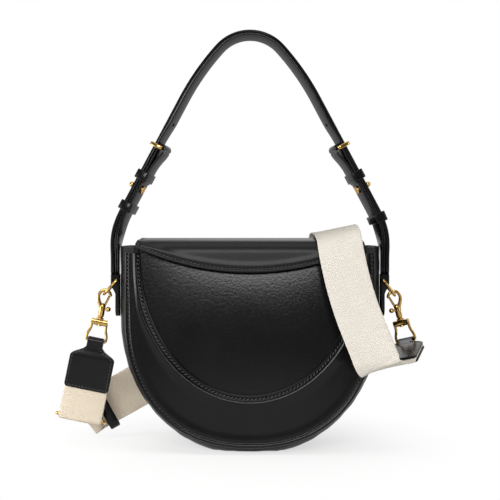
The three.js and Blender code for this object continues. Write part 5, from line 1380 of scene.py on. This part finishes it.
right_width = tab_way("right", (1, 0, 0))
front_route = [(tab_point("right", d), right_width) for d in (14, 35, 42, 45.5)] + list(FRONT_ROUTE)
front_frames = route_frames(front_route, 170)
rear_from = max(i for i, f in enumerate(front_frames) if f[0].y < 22)
front_strap = strap_piece("strap_webbing_front_cloth", front_frames[:rear_from + 1], "strap_webbing_front")
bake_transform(front_strap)

# Strap ring: a rectangle of brass wire that joins the short webbing under the left tab to the long
# webbing; the doubled end of the long webbing is sewn round the slider's raised bar.
RING_TURN = RING_WIRE + LIFT
SHORT_FROM = 14.0
SHORT_TO = 67.0
down = tab_way("left", (0, 0, -1))
away = tab_way("left", (0, 1, 0))
ring_across = tab_way("left", (1, 0, 0))
first_bar = tab_point("left", SHORT_TO, RING_TURN)
reach = away * 12 + down * 3
second_bar = first_bar + reach


def strap_ring():
    half, corner, long = 20.5, 1.5, reach.length
    line = arc_points(-half + corner, corner, corner, pi, 1.5 * pi, 5)
    line += arc_points(half - corner, corner, corner, 1.5 * pi, 2 * pi, 5)
    line += arc_points(half - corner, long - corner, corner, 0, pi / 2, 5)
    line += arc_points(-half + corner, long - corner, corner, pi / 2, pi, 5)
    forward = reach.normalized()
    return round_wire([first_bar + ring_across * x + forward * y for x, y in line],
                      ring_across.cross(forward).normalized(), RING_WIRE)


piece("strap_ring_wire", strap_ring(), brass, "bag", "gold_brass", "strap_ring")

front_ply = [at_frame(tab_point("left", SHORT_FROM + (SHORT_TO - SHORT_FROM) * k / 14), down, -ring_across)
             for k in range(15)]
back_ply = [at_frame(tab_point("left", d, LAYER), -down, -ring_across) for d in (51.1, 48.5, 45.5, 42.5)]
short_frames = front_ply + turn_frames(front_ply[-1], RING_TURN) + back_ply
short_strap = strap_piece("strap_webbing_short_cloth", short_frames,
                          "strap_webbing_short")
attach(short_strap, "bag")

arrive = -away
ring_entry = second_bar - arrive.cross(ring_across).normalized() * RING_TURN
FINE = 3
REAR_STEPS = 39 * FINE
rear_route = list(REAR_ROUTE) + [(ring_entry - arrive * (2 * RING_TURN), ring_across)]
running = route_frames(rear_route, REAR_STEPS)
slider_frame = running[12 * FINE]
keeper_frame = running[24 * FINE]
running += [at_frame(ring_entry - arrive * (RING_TURN * (1 - k / 3)), arrive, ring_across)
            for k in range(1, 4)]
doubled = []
for i, (point, way, across, normal) in enumerate(running):
    spread = max(0.0, 1 - (len(running) - 1 - i) / (4 * FINE))
    doubled.append(at_frame(point + normal * (LAYER + spread * (2 * RING_TURN - LAYER)), -way, across))
doubled = doubled[12 * FINE:-1][::-1]
SLIDER_TURN = SLIDER_WIRE + LIFT
point, way, across, normal = doubled[-1]
bar_turn = turn_frames((point, way, -across, -normal), SLIDER_TURN)
hem_point, hem_way, hem_across, _ = bar_turn[-1]
bar_turn += [at_frame(hem_point + hem_way * (SLIDER_TURN * k), hem_way, hem_across) for k in (1, 2.5, 4, 5)]
tail = [at_frame(p, w, -a) for p, w, a, _ in bar_turn]
meeting = front_frames[rear_from:]
rear_frames = meeting + running + turn_frames(running[-1], RING_TURN) + doubled + tail
rear_strap = strap_piece("strap_webbing_rear_cloth", rear_frames,
                         "strap_webbing_rear")
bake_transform(rear_strap)

# Slider and keeper on the doubled webbing: a stamped brass slider with a raised middle bar, and a
# loose leather band that holds both layers together.
SIDE_HALF = 8.7
STRAP_KEEPER_WALL = 1.9
STRAP_KEEPER_LENGTH = 9.0
UNDER_GAP = 0.9
BEND_GAP = 2.4
ACROSS_GAP = 2.4


def frame_matrix(at):
    """X along the webbing, Y across it, Z on its normal side."""
    point, way, across, normal = at
    return Matrix.Translation(point) @ Matrix((way, across, normal)).transposed().to_4x4()


def slider():
    low = -WEBBING / 2 - 0.5 - SLIDER_WIRE
    raised = LAYER + SLIDER_TURN
    half = WEBBING_WIDTH / 2 + 0.5
    shells = []
    for along, height in ((-8, low), (8, low), (0, raised)):
        rod = turned([(0, -half - 2), (1.2, -half - 2), (SLIDER_WIRE, -half - 1.6), (SLIDER_WIRE, half + 1.6),
                      (1.2, half + 2), (0, half + 2)], 14)
        shells.append(placed(rod, Matrix.Translation((along, 0, height)) @ Matrix.Rotation(pi / 2, 4, "X")))
    for sign in (-1, 1):
        line = [Vector((SIDE_HALF * (k / 12 - 1), low + (raised - low) * sin(pi * k / 24) ** 0.8))
                for k in range(25)]
        rings = []
        for k, p in enumerate(line):
            a, b = line[max(k - 1, 0)], line[min(k + 1, 24)]
            side_way = Vector((-(b - a).y, (b - a).x)).normalized()
            rings.append([Vector((p.x + side_way.x * t, sign * (half + 1.1) + u, p.y + side_way.y * t))
                          for u, t in rounded(2.2, 2.8, 0.9)])
        shells.append(loft(rings))
    return joined(*shells)


piece("strap_slider_brass", slider(), brass, "strap_slider", "gold_brass", "strap_slider",
      move=frame_matrix(slider_frame))


def strap_keeper():
    low = -LIFT - UNDER_GAP - STRAP_KEEPER_WALL / 2
    high = LAYER + LIFT + BEND_GAP + STRAP_KEEPER_WALL / 2
    radius = (high - low) / 2
    middle = (high + low) / 2
    half = WEBBING_WIDTH / 2 + ACROSS_GAP + STRAP_KEEPER_WALL / 2
    section = rounded(STRAP_KEEPER_LENGTH, STRAP_KEEPER_WALL, 0.9, 3)
    rings = []
    for k in range(48):
        angle = 2 * pi * k / 48
        end = half - radius if sin(angle) >= 0 else radius - half
        for shift in ((end, -end) if k in (0, 24) else (end,)):
            rings.append([Vector((a, shift + (radius + t) * sin(angle), middle + (radius + t) * cos(angle)))
                          for a, t in section])
    return loft(rings, closed=True)


piece("strap_keeper_leather", strap_keeper(), strap_leather, "strap_keeper", "black_leather", "strap_keeper",
      move=frame_matrix(keeper_frame))
